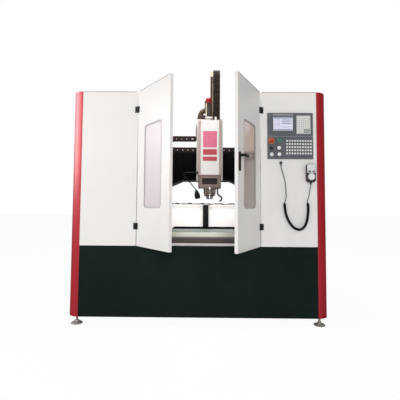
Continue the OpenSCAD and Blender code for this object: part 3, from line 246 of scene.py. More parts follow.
def piece(name, parts, finish, body, sharp=35.0):
    """One mesh piece from surfaces in millimetres, smooth but for edges sharper than the given angle."""
    verts, faces, count = [], [], 0
    for v, f in parts:
        verts.append(v)
        faces += [[i + count for i in face] for face in f]
        count += len(v)
    mesh = bpy.data.meshes.new(name)
    mesh.from_pydata(placed(np.vstack(verts)).tolist(), [], faces)
    work = bmesh.new()
    work.from_mesh(mesh)
    bmesh.ops.recalc_face_normals(work, faces=work.faces)
    work.to_mesh(mesh)
    work.free()
    mesh.shade_smooth()
    mesh.set_sharp_from_angle(angle=math.radians(sharp))
    mesh.materials.append(FINISH[finish])
    obj = bpy.data.objects.new(name, mesh)
    bpy.context.scene.collection.objects.link(obj)
    if body:
        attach(obj, body)
    return obj


# Finishes

def tint(r, g, b):
    """A colour written as 0 to 255 screen values, in linear light."""
    c = np.array([r, g, b]) / 255.0
    c = np.where(c <= 0.04045, c / 12.92, ((c + 0.055) / 1.055) ** 2.4)
    return (*c.tolist(), 1.0)


def new_group(name, inputs, outputs):
    """A shader node group with the named sockets."""
    group = bpy.data.node_groups.new(name, "ShaderNodeTree")
    for label, kind in inputs:
        group.interface.new_socket(name=label, in_out="INPUT", socket_type="NodeSocket" + kind)
    for label, kind in outputs:
        group.interface.new_socket(name=label, in_out="OUTPUT", socket_type="NodeSocket" + kind)
    return group, group.nodes.new("NodeGroupInput"), group.nodes.new("NodeGroupOutput")


def sheen_sockets(group, source, sink, wave, height):
    """Ends a group: wave mixes Colour with Shade and sets Gloss, height raises the normal by Depth."""
    links = group.links
    mix = group.nodes.new("ShaderNodeMix")
    mix.data_type = "RGBA"
    links.new(wave, mix.inputs["Factor"])
    links.new(source.outputs["Colour"], mix.inputs["A"])
    links.new(source.outputs["Shade"], mix.inputs["B"])
    links.new(mix.outputs["Result"], sink.inputs["Colour"])
    span = group.nodes.new("ShaderNodeMapRange")
    links.new(wave, span.inputs["Value"])
    links.new(source.outputs["Gloss Low"], span.inputs["To Min"])
    links.new(source.outputs["Gloss High"], span.inputs["To Max"])
    links.new(span.outputs["Result"], sink.inputs["Gloss"])
    bump = group.nodes.new("ShaderNodeBump")
    bump.inputs["Distance"].default_value = MM
    links.new(height, bump.inputs["Height"])
    links.new(source.outputs["Depth"], bump.inputs["Strength"])
    links.new(bump.outputs["Normal"], sink.inputs["Normal"])


SHEEN_IN = [("Colour", "Color"), ("Shade", "Color"), ("Gloss Low", "Float"), ("Gloss High", "Float"),
            ("Depth", "Float")]
SHEEN_OUT = [("Colour", "Color"), ("Gloss", "Float"), ("Normal", "Vector")]


def noise_of(group, vector, scale, detail):
    """Noise read at a vector, with its scale from a socket or a number."""
    noise = group.nodes.new("ShaderNodeTexNoise")
    noise.inputs["Detail"].default_value = detail
    group.links.new(vector, noise.inputs["Vector"])
    if isinstance(scale, (int, float)):
        noise.inputs["Scale"].default_value = scale
    else:
        group.links.new(scale, noise.inputs["Scale"])
    return noise.outputs["Fac"]


def coated_sheet():
    """Sprayed coat: broad cloudy patches in colour and gloss, and a fine orange-peel height."""
    group, source, sink = new_group("coated_sheet", SHEEN_IN + [("Patch", "Float"), ("Peel", "Float")], SHEEN_OUT)
    place = group.nodes.new("ShaderNodeTexCoord").outputs["Object"]
    patch = noise_of(group, place, source.outputs["Patch"], 4.0)
    peel = noise_of(group, place, source.outputs["Peel"], 2.0)
    sheen_sockets(group, source, sink, patch, peel)
    return group


def tool_lay():
    """Machined or drawn surface: noise stretched along one way, in colour, gloss and height."""
    group, source, sink = new_group("tool_lay", SHEEN_IN + [("Stretch", "Vector")], SHEEN_OUT)
    place = group.nodes.new("ShaderNodeTexCoord").outputs["Object"]
    scaled = group.nodes.new("ShaderNodeVectorMath")
    scaled.operation = "MULTIPLY"
    group.links.new(place, scaled.inputs[0])
    group.links.new(source.outputs["Stretch"], scaled.inputs[1])
    lay = noise_of(group, scaled.outputs["Vector"], 1.0, 6.0)
    sheen_sockets(group, source, sink, lay, lay)
    return group


GROUPS = {"coat": coated_sheet(), "lay": tool_lay()}
FINISH = {}
LACQUER_GLOSS = 0.46


def finish(name, colour, shade, gloss, depth, pattern, metal=0.0, coat=0.0, glow=0.0, clear=0.0, ior=1.45):
    """A material: a Principled shader fed by the coat pattern (patch, peel) or the lay pattern (x, y, z stretch)."""
    material = bpy.data.materials.new(name)
    material.use_nodes = True
    tree = material.node_tree
    shader = tree.nodes["Principled BSDF"]
    look = tree.nodes.new("ShaderNodeGroup")
    look.node_tree = GROUPS["coat" if len(pattern) == 2 else "lay"]
    look.inputs["Colour"].default_value = tint(*colour)
    look.inputs["Shade"].default_value = tint(*shade)
    look.inputs["Gloss Low"].default_value = gloss[0]
    look.inputs["Gloss High"].default_value = gloss[1]
    look.inputs["Depth"].default_value = depth
    if len(pattern) == 2:
        look.inputs["Patch"].default_value, look.inputs["Peel"].default_value = pattern
    else:
        look.inputs["Stretch"].default_value = pattern
    tree.links.new(look.outputs["Colour"], shader.inputs["Base Color"])
    tree.links.new(look.outputs["Gloss"], shader.inputs["Roughness"])
    tree.links.new(look.outputs["Normal"], shader.inputs["Normal"])
    shader.inputs["Metallic"].default_value = metal
    shader.inputs["IOR"].default_value = ior
    shader.inputs["Coat Weight"].default_value = coat
    shader.inputs["Coat Roughness"].default_value = LACQUER_GLOSS
    shader.inputs["Transmission Weight"].default_value = clear
    if glow:
        tree.links.new(look.outputs["Colour"], shader.inputs["Emission Color"])
        shader.inputs["Emission Strength"].default_value = glow
    FINISH[name] = material


finish("white_powder", (240, 237, 234), (232, 229, 227), (0.36, 0.48), 0.05, (3.0, 900.0))
finish("saddle_paint", (226, 221, 212), (214, 209, 201), (0.4, 0.5), 0.05, (5.0, 900.0))
finish("red_gloss", (180, 0, 29), (166, 0, 24), (0.4, 0.46), 0.02, (2.0, 500.0), metal=0.1, coat=1.0, ior=1.3)
finish("base_powder", (22, 36, 33), (15, 27, 25), (0.5, 0.62), 0.12, (4.0, 700.0), ior=1.18)
finish("cast_black", (14, 17, 22), (9, 11, 15), (0.5, 0.66), 0.25, (9.0, 260.0), ior=1.25)
finish("bed_cast", (70, 68, 66), (52, 50, 49), (0.55, 0.72), 0.3, (8.0, 240.0))
finish("tray_sheet", (108, 96, 92), (84, 75, 72), (0.38, 0.6), 0.1, (12.0, 160.0), metal=0.35)
finish("duct_plastic", (11, 11, 12), (7, 7, 8), (0.5, 0.62), 0.06, (20.0, 600.0), ior=1.2)
finish("bellows_cloth", (15, 17, 22), (8, 10, 14), (0.62, 0.8), 0.2, (30.0, 1400.0), ior=1.25)
finish("bellows_grey", (128, 116, 114), (98, 89, 88), (0.6, 0.78), 0.2, (30.0, 1400.0))
finish("chain_brown", (54, 32, 28), (36, 21, 19), (0.5, 0.62), 0.08, (26.0, 500.0), ior=1.3)
finish("chain_black", (44, 40, 37), (27, 25, 23), (0.66, 0.8), 0.08, (26.0, 500.0), ior=1.15)
finish("conduit_brown", (100, 82, 60), (78, 63, 46), (0.45, 0.6), 0.06, (30.0, 600.0))
finish("rail_steel", (196, 198, 200), (160, 162, 165), (0.16, 0.3), 0.08, (400.0, 6.0, 400.0), metal=1.0)
finish("screw_steel", (190, 190, 192), (140, 140, 143), (0.18, 0.32), 0.1, (700.0, 60.0, 700.0), metal=1.0)
finish("foot_zinc", (198, 194, 184), (160, 156, 147), (0.26, 0.42), 0.12, (160.0, 160.0, 900.0), metal=0.35)
finish("table_iron", (84, 104, 84), (64, 80, 62), (0.3, 0.5), 0.12, (14.0, 700.0, 700.0), metal=0.3)
finish("ground_edge", (240, 243, 228), (224, 228, 210), (0.26, 0.42), 0.1, (6.0, 700.0, 900.0), metal=0.3)
finish("slide_iron", (150, 126, 120), (122, 102, 98), (0.42, 0.6), 0.2, (14.0, 300.0))
# painted shade: the dark inside of the clamp's window
finish("painted_clamp_shade", (44, 24, 24), (28, 15, 15), (0.4, 0.55), 0.15, (30.0, 400.0), ior=1.3)
finish("spindle_steel", (168, 162, 156), (122, 117, 111), (0.14, 0.28), 0.06, (90.0, 90.0, 900.0), metal=1.0)
finish("collet_steel", (182, 186, 196), (128, 132, 142), (0.16, 0.3), 0.06, (120.0, 120.0, 800.0), metal=1.0)
finish("motor_black", (24, 24, 26), (15, 15, 17), (0.3, 0.5), 0.15, (14.0, 400.0))
finish("motor_grey", (52, 46, 36), (38, 34, 26), (0.32, 0.5), 0.15, (14.0, 400.0))
finish("cap_red", (160, 6, 34), (132, 2, 24), (0.16, 0.24), 0.04, (20.0, 500.0), coat=0.3)
finish("tan_steel", (164, 130, 94), (140, 110, 78), (0.36, 0.52), 0.1, (10.0, 400.0))
finish("slate_panel", (102, 107, 113), (88, 93, 99), (0.46, 0.58), 0.12, (14.0, 1100.0), ior=1.3)
finish("keypad_pale", (206, 210, 204), (190, 194, 188), (0.4, 0.52), 0.06, (24.0, 900.0))
finish("key_white", (238, 239, 238), (222, 224, 223), (0.34, 0.48), 0.05, (60.0, 900.0))
finish("key_dark", (150, 156, 158), (134, 140, 142), (0.36, 0.5), 0.05, (60.0, 900.0))
finish("screen_lit", (226, 226, 240), (212, 213, 232), (0.1, 0.16), 0.01, (9.0, 300.0), glow=0.25)
finish("screen_ink", (96, 104, 150), (78, 86, 130), (0.1, 0.16), 0.01, (60.0, 300.0))
finish("strip_pale", (150, 156, 160), (136, 142, 146), (0.34, 0.46), 0.04, (30.0, 600.0))
finish("stop_red", (190, 66, 36), (168, 50, 28), (0.24, 0.36), 0.04, (60.0, 700.0), coat=0.3)
finish("collar_orange", (204, 124, 58), (184, 106, 48), (0.34, 0.46), 0.05, (60.0, 700.0))
finish("start_green", (52, 122, 100), (40, 100, 82), (0.2, 0.32), 0.04, (60.0, 700.0), coat=0.4)
finish("button_white", (238, 238, 238), (224, 224, 225), (0.24, 0.36), 0.04, (60.0, 700.0), coat=0.3)
finish("knob_black", (22, 22, 24), (14, 14, 16), (0.34, 0.5), 0.08, (60.0, 700.0))
finish("hinge_black", (34, 29, 27), (22, 19, 18), (0.42, 0.56), 0.12, (40.0, 600.0), ior=1.3)
finish("lamp_black", (22, 20, 20), (12, 11, 11), (0.4, 0.54), 0.1, (40.0, 600.0), ior=1.3)
finish("cord_rubber", (14, 14, 15), (8, 8, 9), (0.5, 0.62), 0.08, (80.0, 1200.0), ior=1.3)
finish("pendant_shell", (50, 51, 54), (38, 39, 42), (0.42, 0.56), 0.12, (40.0, 1000.0))
finish("pendant_face", (228, 228, 229), (214, 215, 216), (0.36, 0.48), 0.05, (40.0, 900.0))
finish("seal_grey", (196, 193, 192), (178, 175, 174), (0.55, 0.7), 0.1, (40.0, 900.0))
finish("bar_red", (190, 44, 62), (176, 34, 52), (0.34, 0.44), 0.03, (12.0, 700.0))
finish("bar_pink", (224, 112, 144), (214, 98, 131), (0.34, 0.44), 0.03, (12.0, 700.0))
# painted shade: a darker pink-grey copy of the cover's white paint, for its chamfered folds
finish("painted_fold_shade", (214, 190, 183), (202, 178, 171), (0.36, 0.48), 0.05, (3.0, 900.0))
finish("strip_tan", (208, 190, 164), (192, 173, 147), (0.38, 0.5), 0.06, (12.0, 600.0))
finish("knob_grey", (118, 120, 122), (100, 102, 104), (0.34, 0.5), 0.08, (60.0, 700.0))
# painted shade: the grey line of shadow under the top edges of doors and panels
finish("edge_shade", (134, 130, 127), (120, 116, 113), (0.5, 0.62), 0.05, (30.0, 700.0))
finish("apron_sheet", (96, 86, 83), (74, 66, 63), (0.34, 0.52), 0.1, (7.0, 300.0))
finish("cable_brown", (64, 38, 28), (46, 27, 20), (0.42, 0.56), 0.06, (30.0, 600.0))
finish("fastener", (150, 150, 152), (112, 112, 115), (0.25, 0.4), 0.08, (300.0, 300.0, 300.0), metal=1.0)
finish("acrylic", (202, 184, 174), (196, 178, 168), (0.04, 0.09), 0.01, (2.0, 40.0), clear=0.45, ior=1.49)
# Painted sheen: the left window's acrylic is a paler, rougher copy of the right one's, for the light it catches
finish("acrylic_painted_sheen", (236, 228, 230), (230, 221, 224), (0.3, 0.42), 0.02, (2.0, 40.0), clear=0.45, ior=1.49)

NODE_FINISH = {
    "white_powder": "front_fascia left_side_panel right_side_panel rear_panel left_door right_door head_cover",
    "saddle_paint": "saddle",
    "red_gloss": "left_column right_column",
    "base_powder": "base_front_panel base_skirt",
    "cast_black": "gantry",
    "bed_cast": "bed",
    "tray_sheet": "chip_tray",
    "duct_plastic": "cable_duct",
    "bellows_cloth": "x_bellows_left x_bellows_right y_bellows_rear",
    "bellows_grey": "y_bellows_front",
    "chain_brown": "x_chain",
    "chain_black": "z_chain",
    "conduit_brown": "cable_conduit",
    "rail_steel": "linear_rails",
    "screw_steel": "x_screw y_screw z_screw",
    "foot_zinc": "levelling_feet",
    "table_iron": "table",
    "slide_iron": "head_slide",
    "spindle_steel": "spindle_motor",
    "collet_steel": "spindle_shaft",
    "motor_black": "feed_motors",
    "motor_grey": "z_motor",
    "tan_steel": "z_chain_post",
    "slate_panel": "control_unit operator_panel",
    "keypad_pale": "mdi_keypad",
    "screen_lit": "display",
    "stop_red": "emergency_stop",
    "start_green": "start_button",
    "button_white": "upper_button lower_left_button lower_right_button pendant_wheel",
    "knob_black": "key_switch cord_gland",
    "knob_grey": "axis_selector step_selector",
    "hinge_black": "fixed_hinge_leaves left_hinge_leaves right_door_fittings door_lever",
    "lamp_black": "work_lamp coolant_hose",
    "cord_rubber": "pendant_leads pendant_curl",
    "pendant_shell": "pendant_case",
    "acrylic": "right_window",
    "acrylic_painted_sheen": "left_window",
}
for look, names in NODE_FINISH.items():
    for node in names.split():
        NODES[node].data.materials.clear()
        NODES[node].data.materials.append(FINISH[look])


# Pendant cord: a straight lead from the gland, a curled stretch hanging in a loop, a straight lead to the pendant

CORD_D = 6.0
CURL_R = 8.6
CURL_TURNS = 82
TURN_POINTS = 16
CURL_EASE = 0.03  # share of the curl over which it opens to its full radius
LEAD_STEP = 12.0
LEAD_A = [(704, 1364), (706, 1344), (716, 1312), (729, 1266), (737, 1228), (742, 1185), (745, 1138), (746, 1101),
          (744, 1078), (737, 1062), (733, 1050)]
CURL = [(733, 1050), (734, 1010), (743, 952), (760, 903), (786, 860), (817, 831), (849, 820), (879, 827), (906, 857),
        (922, 903), (930, 960), (932, 1007), (929, 1038), (926, 1052)]
LEAD_B = [(926, 1052), (926, 1064), (931, 1080), (938, 1100), (943, 1130), (949, 1164), (955, 1188), (956, 1204)]


def hanging(points):
    """Route points (x, z) set in the plane of the cord."""
    return np.array([(x, CORD_Y, z) for x, z in points], float)


def curled(route):
    """A helix round the route: c + r (cos p across the route + sin p along y), r easing in from 0 at both ends."""
    line = smooth_line(hanging(route), 1.0)
    n = CURL_TURNS * TURN_POINTS
    at = np.linspace(0, len(line) - 1, n + 1)
    c = np.stack([np.interp(at, np.arange(len(line)), line[:, k]) for k in range(3)], -1)
    across = unit(np.cross((0.0, 1.0, 0.0), np.gradient(c, axis=0)))
    f = np.linspace(0, 1, n + 1)
    ease = np.clip(np.minimum(f, 1 - f) / CURL_EASE, 0, 1)
    r = (CURL_R * ease**2 * (3 - 2 * ease))[:, None]
    p = (2 * math.pi * CURL_TURNS * f)[:, None]
    return c + r * (np.cos(p) * across + np.sin(p) * np.array([0.0, 1.0, 0.0]))


lead_a, lead_b = (smooth_line(hanging(lead), LEAD_STEP) for lead in (LEAD_A, LEAD_B))
cord_line = np.vstack([lead_a[:-1], curled(CURL), lead_b[1:]])
cord_at = placed(cord_line)
cord_curve = bpy.data.curves.new("pendant_cord", "CURVE")
cord_curve.dimensions = "3D"
cord_curve.bevel_depth = CORD_D / 2 * MM
cord_curve.bevel_resolution = 2
cord_curve.use_fill_caps = True
spline = cord_curve.splines.new("POLY")
spline.points.add(len(cord_at) - 1)
spline.points.foreach_set("co", np.insert(cord_at, 3, 1.0, axis=1).astype(np.float32).ravel())
spline.use_smooth = True
cord_curve.materials.append(FINISH["cord_rubber"])
cord = bpy.data.objects.new("pendant_cord", cord_curve)
bpy.context.scene.collection.objects.link(cord)
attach(cord, "frame")
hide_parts("pendant_leads", "pendant_curl")


# Corner columns: a rolled quarter shell with two turned-in flanges and a cap

def column_section(n=40):
    """Section about the bend's centre: outer arc of radius R from front to side, flange, inner arc back, flange."""
    shell, flange, clear = 3.0, 18.0, 0.04
    a = np.linspace(-math.pi / 2, 0, n)
    b = np.linspace(-clear, -math.pi / 2 + clear, n)
    outer = COLUMN_R * np.stack([np.cos(a), np.sin(a)], -1)
    inner = (COLUMN_R - shell) * np.stack([np.cos(b), np.sin(b)], -1)
    side = [(COLUMN_R - flange, 0.0), (COLUMN_R - flange, -shell)]
    front = [(shell, flange - COLUMN_R), (0.0, flange - COLUMN_R)]
    return np.vstack([outer, side, inner, front])


def column(side):
    """The section raised from the feet to the top, and the cap's quarter disc with an eased rim."""
    centre = np.array([side * (HALF_WIDTH - COLUMN_R), COLUMN_R])
    shape = column_section() * np.array([side, 1.0]) + centre
    wall = loft([np.insert(shape, 2, z, axis=1) for z in (FOOT, TOP - 0.6)])
    a = np.linspace(-math.pi / 2, 0, 40)
    rings = []
    for z, r in ((TOP - 4.0, COLUMN_R - 2.0), (TOP - 1.0, COLUMN_R), (TOP, COLUMN_R - 1.0)):
        pie = np.vstack([r * np.stack([np.cos(a), np.sin(a)], -1), [[0.0, 0.0]]])
        rings.append(np.insert(pie * np.array([side, 1.0]) + centre, 2, z, axis=1))
    return [wall, loft(rings)]


for side, label in ((-1, "left_column"), (1, "right_column")):
    shell = piece(label + "_shell", column(side), "red_gloss", "frame")
    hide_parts(label)


# Drag chains: links set out along a run, half a turn and the run back, cut into three pieces

def loop_point(s, run, r):
    """Along the chain's line: (s, 0) on the run, a half circle of radius r, then back at height 2 r."""
    a = np.clip((s - run) / r, 0, math.pi)
    back = np.maximum(s - run - math.pi * r, 0)
    return np.stack([np.minimum(s, run) + r * np.sin(a) - back, r * (1 - np.cos(a))], -1)


LINK_WALL, LINK_BOSS, LID_HALF = 6.0, 1.2, 2.0
LINK_NEST, LINK_PLAY, LID_PLAY = 12.6, 2.4, 3.0  # every second link sits between the plates of its neighbours


def link_shape(l, h, w, lid, open_side, n=14):
    """A link along X: two side plates, each a stadium with a long window, and two lids, the open side's a short bar."""
    a = np.linspace(-math.pi / 2, math.pi / 2, n)

    def stadium(x0, x1, r):
        ends = [np.stack([x1 + r * np.cos(a), r * np.sin(a)], -1), np.stack([x0 - r * np.cos(a), -r * np.sin(a)], -1)]
        return np.vstack(ends)

    outer, window = stadium(0.0, l, h / 2 - 0.4), stadium(l * 0.36, l * 0.64, h * 0.2)
    parts = []
    for y0, y1 in ((-w / 2, LINK_WALL - w / 2), (w / 2 - LINK_WALL, w / 2)):
        rings = [np.insert(o, 1, y, axis=1) for o, y in ((outer, y0), (outer, y1), (window, y1), (window, y0))]
        parts.append(closed_loft(rings))
        boss = y0 - LINK_BOSS if y0 < 0 else y1 + LINK_BOSS
        pin = [np.insert(circle(h * 0.2, 16), 1, y, axis=1) for y in ((y0 + y1) / 2, boss)]
        parts.append(loft(pin))
    for sign in (-1, 1):
        reach = 0.2 if sign == open_side else 0.45
        z = sign * (h / 2 - LID_HALF)
        low, high = (l * (0.5 - reach), -lid / 2, z - LID_HALF), (l * (0.5 + reach), lid / 2, z + LID_HALF)
        parts.append(box_at(low, high))
    return parts


def chain_links(run, back, r, h, w, pitch):
    """Each link as parts in the chain's own plane, with its middle's arc length."""
    whole = run + math.pi * r + back
    n = round(whole / pitch)
    s = np.linspace(0, whole, n + 1)
    p = loop_point(s, run, r)
    step = np.diff(p, axis=0)
    bent = (s[1:] > run) & (s[:-1] < run + math.pi * r)
    links = []
    for i in range(n):
        size = float(np.hypot(*step[i]))
        c, sn = step[i] / size
        turn = np.array([[c, 0, -sn], [0, 1, 0], [sn, 0, c]])
        base = np.array([p[i, 0], 0.0, p[i, 1]])
        width = w - (LINK_NEST if i % 2 else 0.0) - LINK_PLAY
        parts = [(v @ turn.T + base, f) for v, f in link_shape(size, h, width, w - LID_PLAY, bent[i])]
        links.append(((s[i] + s[i + 1]) / 2, parts))
    return links


def chain(name, node, look, bodies, at, run, back, r, h, w, pitch):
    """Three pieces: the first run, the bend and the last run, the runs named fixed or moving by the third entry of
    bodies.
    """
    links = chain_links(run, back, r, h, w, pitch)
    made = []
    for part, low, high in (("first", -1, run), ("bend", run, run + math.pi * r), ("last", run + math.pi * r, 1e9)):
        parts = [(at(v), f) for s, ps in links if low <= s < high for v, f in ps]
        kind = part if part == "bend" else ("fixed" if (part == "first") == bodies[2] else "moving")
        obj = piece(f"{name}_{kind}", parts, look, None)
        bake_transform(obj)
        made.append(obj)
    for obj in made:
        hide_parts(node)


X_FIXED, X_BEND, X_MOVING, X_LOW, X_R, X_MID = 480.0, -310.0, -64.0, 1654.5, 64.5, 985.0
chain("x_chain", "x_chain", "chain_brown", ("frame", "carriage", True),
      lambda v: np.stack([X_FIXED - v[:, 0], X_MID + v[:, 1], X_LOW + v[:, 2]], -1),
      X_FIXED - X_BEND, X_MOVING - X_BEND, X_R, 54.0, 60.0, 59.0)

Z_START, Z_BEND, Z_ANCHOR, Z_FRONT, Z_R, Z_MID = 1954.5, 2435.0, 2005.5, 765.0, 75.0, 180.0
chain("z_chain", "z_chain", "chain_black", ("carriage", "head", False),
      lambda v: np.stack([Z_MID + v[:, 1], Z_FRONT + v[:, 2], Z_START + v[:, 0]], -1),
      Z_BEND - Z_START, Z_BEND - Z_ANCHOR, Z_R, 40.0, 74.0, 59.0)


# Bellows: a U section carried along the slide, drawn in at every second fold

def share_position(share):
    """Where on a 0 to 1 span the smooth step 3 u^2 - 2 u^3 reaches the share."""
    return 0.5 - math.sin(math.asin(1 - 2 * share) / 3)


def fold_section(half, top, low, inset, thick, corner):
    """A closed U: over the outer face and back along its inner side, drawn in by inset, corners eased by corner."""
    def arm(d):
        w, t, c = half - d, top - d, corner
        left = [(-w, low), (-w, t - c), (-w + 0.3 * c, t - 0.3 * c), (-w + c, t)]
        return left + [(w - c, t), (w - 0.3 * c, t - 0.3 * c), (w, t - c), (w, low)]
    return np.array(arm(inset) + arm(inset + thick)[::-1])


BEAM_FRONT, BEAM_Z = 908.0, 1465.0
CLOTH, CLOTH_CORNER = 1.6, 6.0
CROSS_COVER = (154.0, 24.0, 0.0, 16.0, 22.0)  # half width, top, low edge, depth of a fold, length of a pleat
REAR_COVER = (388.0, 766.0, 692.0, 16.0, 22.0)
FRONT_COVER = (388.0, 728.5, 692.0, 8.0, 14.0)
CUTS = np.array([0, 0.02, 0.06, 0.15, 0.3, 0.7, 0.85, 0.94, 0.98, 1.0])


def bellows(name, node, look, slot, bodies, begin, end, half, top, low, fold, pleat, at):
    """Folds between the fixed end begin and the moving end, cut into pieces at the CUTS shares; each piece's share of
    the slide is worked out but not used.
    """
    n = max(2, round(abs(end - begin) / pleat))
    k = np.arange(2 * n * 4 + 1)
    along = begin + (end - begin) * k / k[-1]
    wave = np.abs((k / 4) % 2 - 1)
    sections = [fold_section(half, top, low, fold * (1 - w), CLOTH, CLOTH_CORNER) for w in wave]
    rings = np.stack([at(section, a) for section, a in zip(sections, along)])
    cuts = np.unique(np.round(CUTS * k[-1]).astype(int))
    for i, (a, b) in enumerate(zip(cuts[:-1], cuts[1:])):
        obj = piece(f"{name}_{i + 1}", [loft(rings[a:b + 1])], look, None, sharp=50.0)
        ua, ub = share_position(a / k[-1]), share_position(b / k[-1])
        span = (along[b] - along[a]) / (ub - ua)
        start = along[a] - ua * span
        ends = [tuple(placed(at(np.zeros((1, 2)), e)[0])) for e in (start, start + span)]
        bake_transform(obj)
        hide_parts(node)


def cross_axis(section, x):
    """U section opening to the back: (across, up) to z and -y, at one X."""
    return np.stack([np.full(len(section), x), BEAM_FRONT - section[:, 1], BEAM_Z + section[:, 0]], -1)


def way_axis(section, y):
    """U section opening downward, at one y."""
    return np.stack([CORE_X + section[:, 0], np.full(len(section), y), section[:, 1]], -1)


bellows("cross_bellows_left", "x_bellows_left", "bellows_cloth", "bellows_black", ("frame", "carriage"),
        -458.0, -37.3, *CROSS_COVER, cross_axis)
bellows("cross_bellows_right", "x_bellows_right", "bellows_cloth", "bellows_black", ("frame", "carriage"),
        608.0, 253.3, *CROSS_COVER, cross_axis)
bellows("way_cover_rear", "y_bellows_rear", "bellows_cloth", "bellows_black", ("frame", "table"),
        1330.0, 760.3, *REAR_COVER, way_axis)
bellows("way_cover_front", "y_bellows_front", "bellows_grey", "bellows_black", ("frame", "table"),
        160.0, 284.0, *FRONT_COVER, way_axis)


# Head: corrugated conduit, fittings of the motor and the chain post, the cover's colour bars, painted shade on the
# cover's chamfered folds, and a dark plate of painted shade in the clamp's window

CONDUIT = [(61, 872, 2080), (44, 873, 2079), (22, 880, 2068), (5, 894, 2044), (-5, 911, 2014), (-11, 927, 1985),
           (-18, 942, 1950), (-25, 956, 1915), (-29, 968, 1882), (-29, 981, 1850), (-29, 983, 1823.5),
           (-29, 983, 1803.5)]
CONDUIT_R, CONDUIT_THIN_R, CONDUIT_TAPER = 29.0, 20.0, 240.0
RIB, RIB_PITCH, RIB_STEP = 1.4, 9.0, 1.5


def conduit():
    """A tube whose radius falls evenly from 29 to 20 over the first 240 mm, plus ribs 1.4 sin(2 pi s / 9)."""
    line = smooth_line(CONDUIT, RIB_STEP)
    s = np.arange(len(line)) * RIB_STEP
    core = np.maximum(CONDUIT_R - (CONDUIT_R - CONDUIT_THIN_R) * s / CONDUIT_TAPER, CONDUIT_THIN_R)
    return tube(line, core + RIB * np.sin(2 * math.pi * s / RIB_PITCH), 28)


def plate(name, size, at, look, body):
    """A slab of a width, height, thickness, corner and eased edge, with the middle of its back at a point."""
    piece(name, [moved(slab(*size), at)], look, body)


hose = piece("motor_conduit", [conduit()], "conduit_brown", "carriage")
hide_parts("cable_conduit")

MOTOR_TOP = (94.0, 848.0, 2158.0)
CAP_R, CAP_WALL, CAP_CROWN, CAP_PIP = 35.5, 30.0, 35.0, 0.05
a = np.linspace(0, math.pi / 2 - CAP_PIP, 14)
crown = np.stack([CAP_R * np.cos(a), CAP_WALL + CAP_CROWN * np.sin(a)], -1)
dome = np.vstack([[[CAP_R, 0.0], [CAP_R, CAP_WALL]], crown[1:]])
cap = piece("motor_cap", [moved(lathe(dome, 48), MOTOR_TOP)], "cap_red", "carriage")

plate("motor_plug", (12.0, 84.0, 34.0, 4.0, 2.0), (56.0, 868.0, 2137.0), "motor_grey", "carriage")
plate("motor_strip", (13.0, 160.0, 1.5, 1.0, 0.4), (68.0, 815.2, 2070.0), "strip_tan", "carriage")
plate("conduit_box", (74.0, 46.0, 40.0, 12.0, 6.0), (21.0, 902.0, 2008.5), "cable_brown", "carriage")
CABLE_X, CABLE_Y, CABLE_R = 121.0, 880.5, 7.6
post_cable = tube(np.array([(CABLE_X, CABLE_Y, z) for z in np.linspace(2014, 2480, 40)]), CABLE_R, 14)
piece("post_cable", [post_cable], "cable_brown", "carriage")
plate("post_cap", (27.0, 58.0, 3.0, 8.0, 1.0), (128.0, 872.0, 2496.0), "strip_tan", "carriage")
plate("chain_bracket", (20.0, 48.0, 3.0, 3.0, 1.0), (169.0, 742.0, 1955.0), "saddle_paint", "head")

COVER_FRONT = 705.0
FACING = 0.6
BAR_W, BAR_CORNER = 150.0, 6.0
BAR_SEAT = COVER_FRONT + 0.2
bars = [("bar_pink", 1640.0, 1816.0), ("bar_red", 1560.0, 1622.0), ("bar_red", 1496.0, 1542.0)]
for i, (look, low, high) in enumerate(bars):
    at = (HEAD_X, BAR_SEAT, (low + high) / 2)
    plate(f"cover_bar_{i + 1}", (BAR_W, high - low, FACING, BAR_CORNER), at, look, "head")

COVER_LOW, COVER_HIGH = (np.array(corner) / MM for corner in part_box("head_cover"))
CHAMFER = 28.0
face = slab(CHAMFER * math.sqrt(2) - 2.0, COVER_HIGH[2] - COVER_LOW[2] - 5.0, FACING, 1.0)
# Painted shade: tinted plates on the cover's two chamfered folds stand for the shade that falls on them
for side, name in ((-1, "left"), (1, "right")):
    edge_x = HEAD_X + side * ((COVER_HIGH[0] - COVER_LOW[0]) / 2 - CHAMFER / 2)
    at = (edge_x, COVER_FRONT + CHAMFER / 2, (COVER_LOW[2] + COVER_HIGH[2]) / 2)
    fold = piece(f"cover_fold_shade_{name}", [moved(turned(face, side * 45.0), at)], "painted_fold_shade", "head")

# Painted shade: a thin dark plate over the clamp's window stands for the shade inside it
plate("clamp_shade_plate", (160.0, 64.0, 1.4, 2.0, 0.4), (HEAD_X, 710.8, 1279.0), "painted_clamp_shade", "head")


# Bed apron and the table's ground front edge

plate("bed_apron", (776.0, 84.0, 2.5, 2.0, 0.8), (CORE_X, 149.6, 685.0), "apron_sheet", "frame")
plate("table_front_edge", (799.0, 41.0, 0.8, 1.5, 0.3), (CORE_X, 270.2, 750.5), "ground_edge", "table")


# Doors: window seals, inner retaining frames, hinge screws, and strips of painted shade under the top edges of doors
# and panels

def window_ring(section, half_w, half_h, r):
    """A section (across, out) carried round the window's rounded outline."""
    rings = []
    for d, v in section:
        loop = rounded(2 * (half_w + d), 2 * (half_h + d), r + d, 8)
        rings.append(np.insert(loop, 1, v, axis=1))
    return closed_loft(rings)


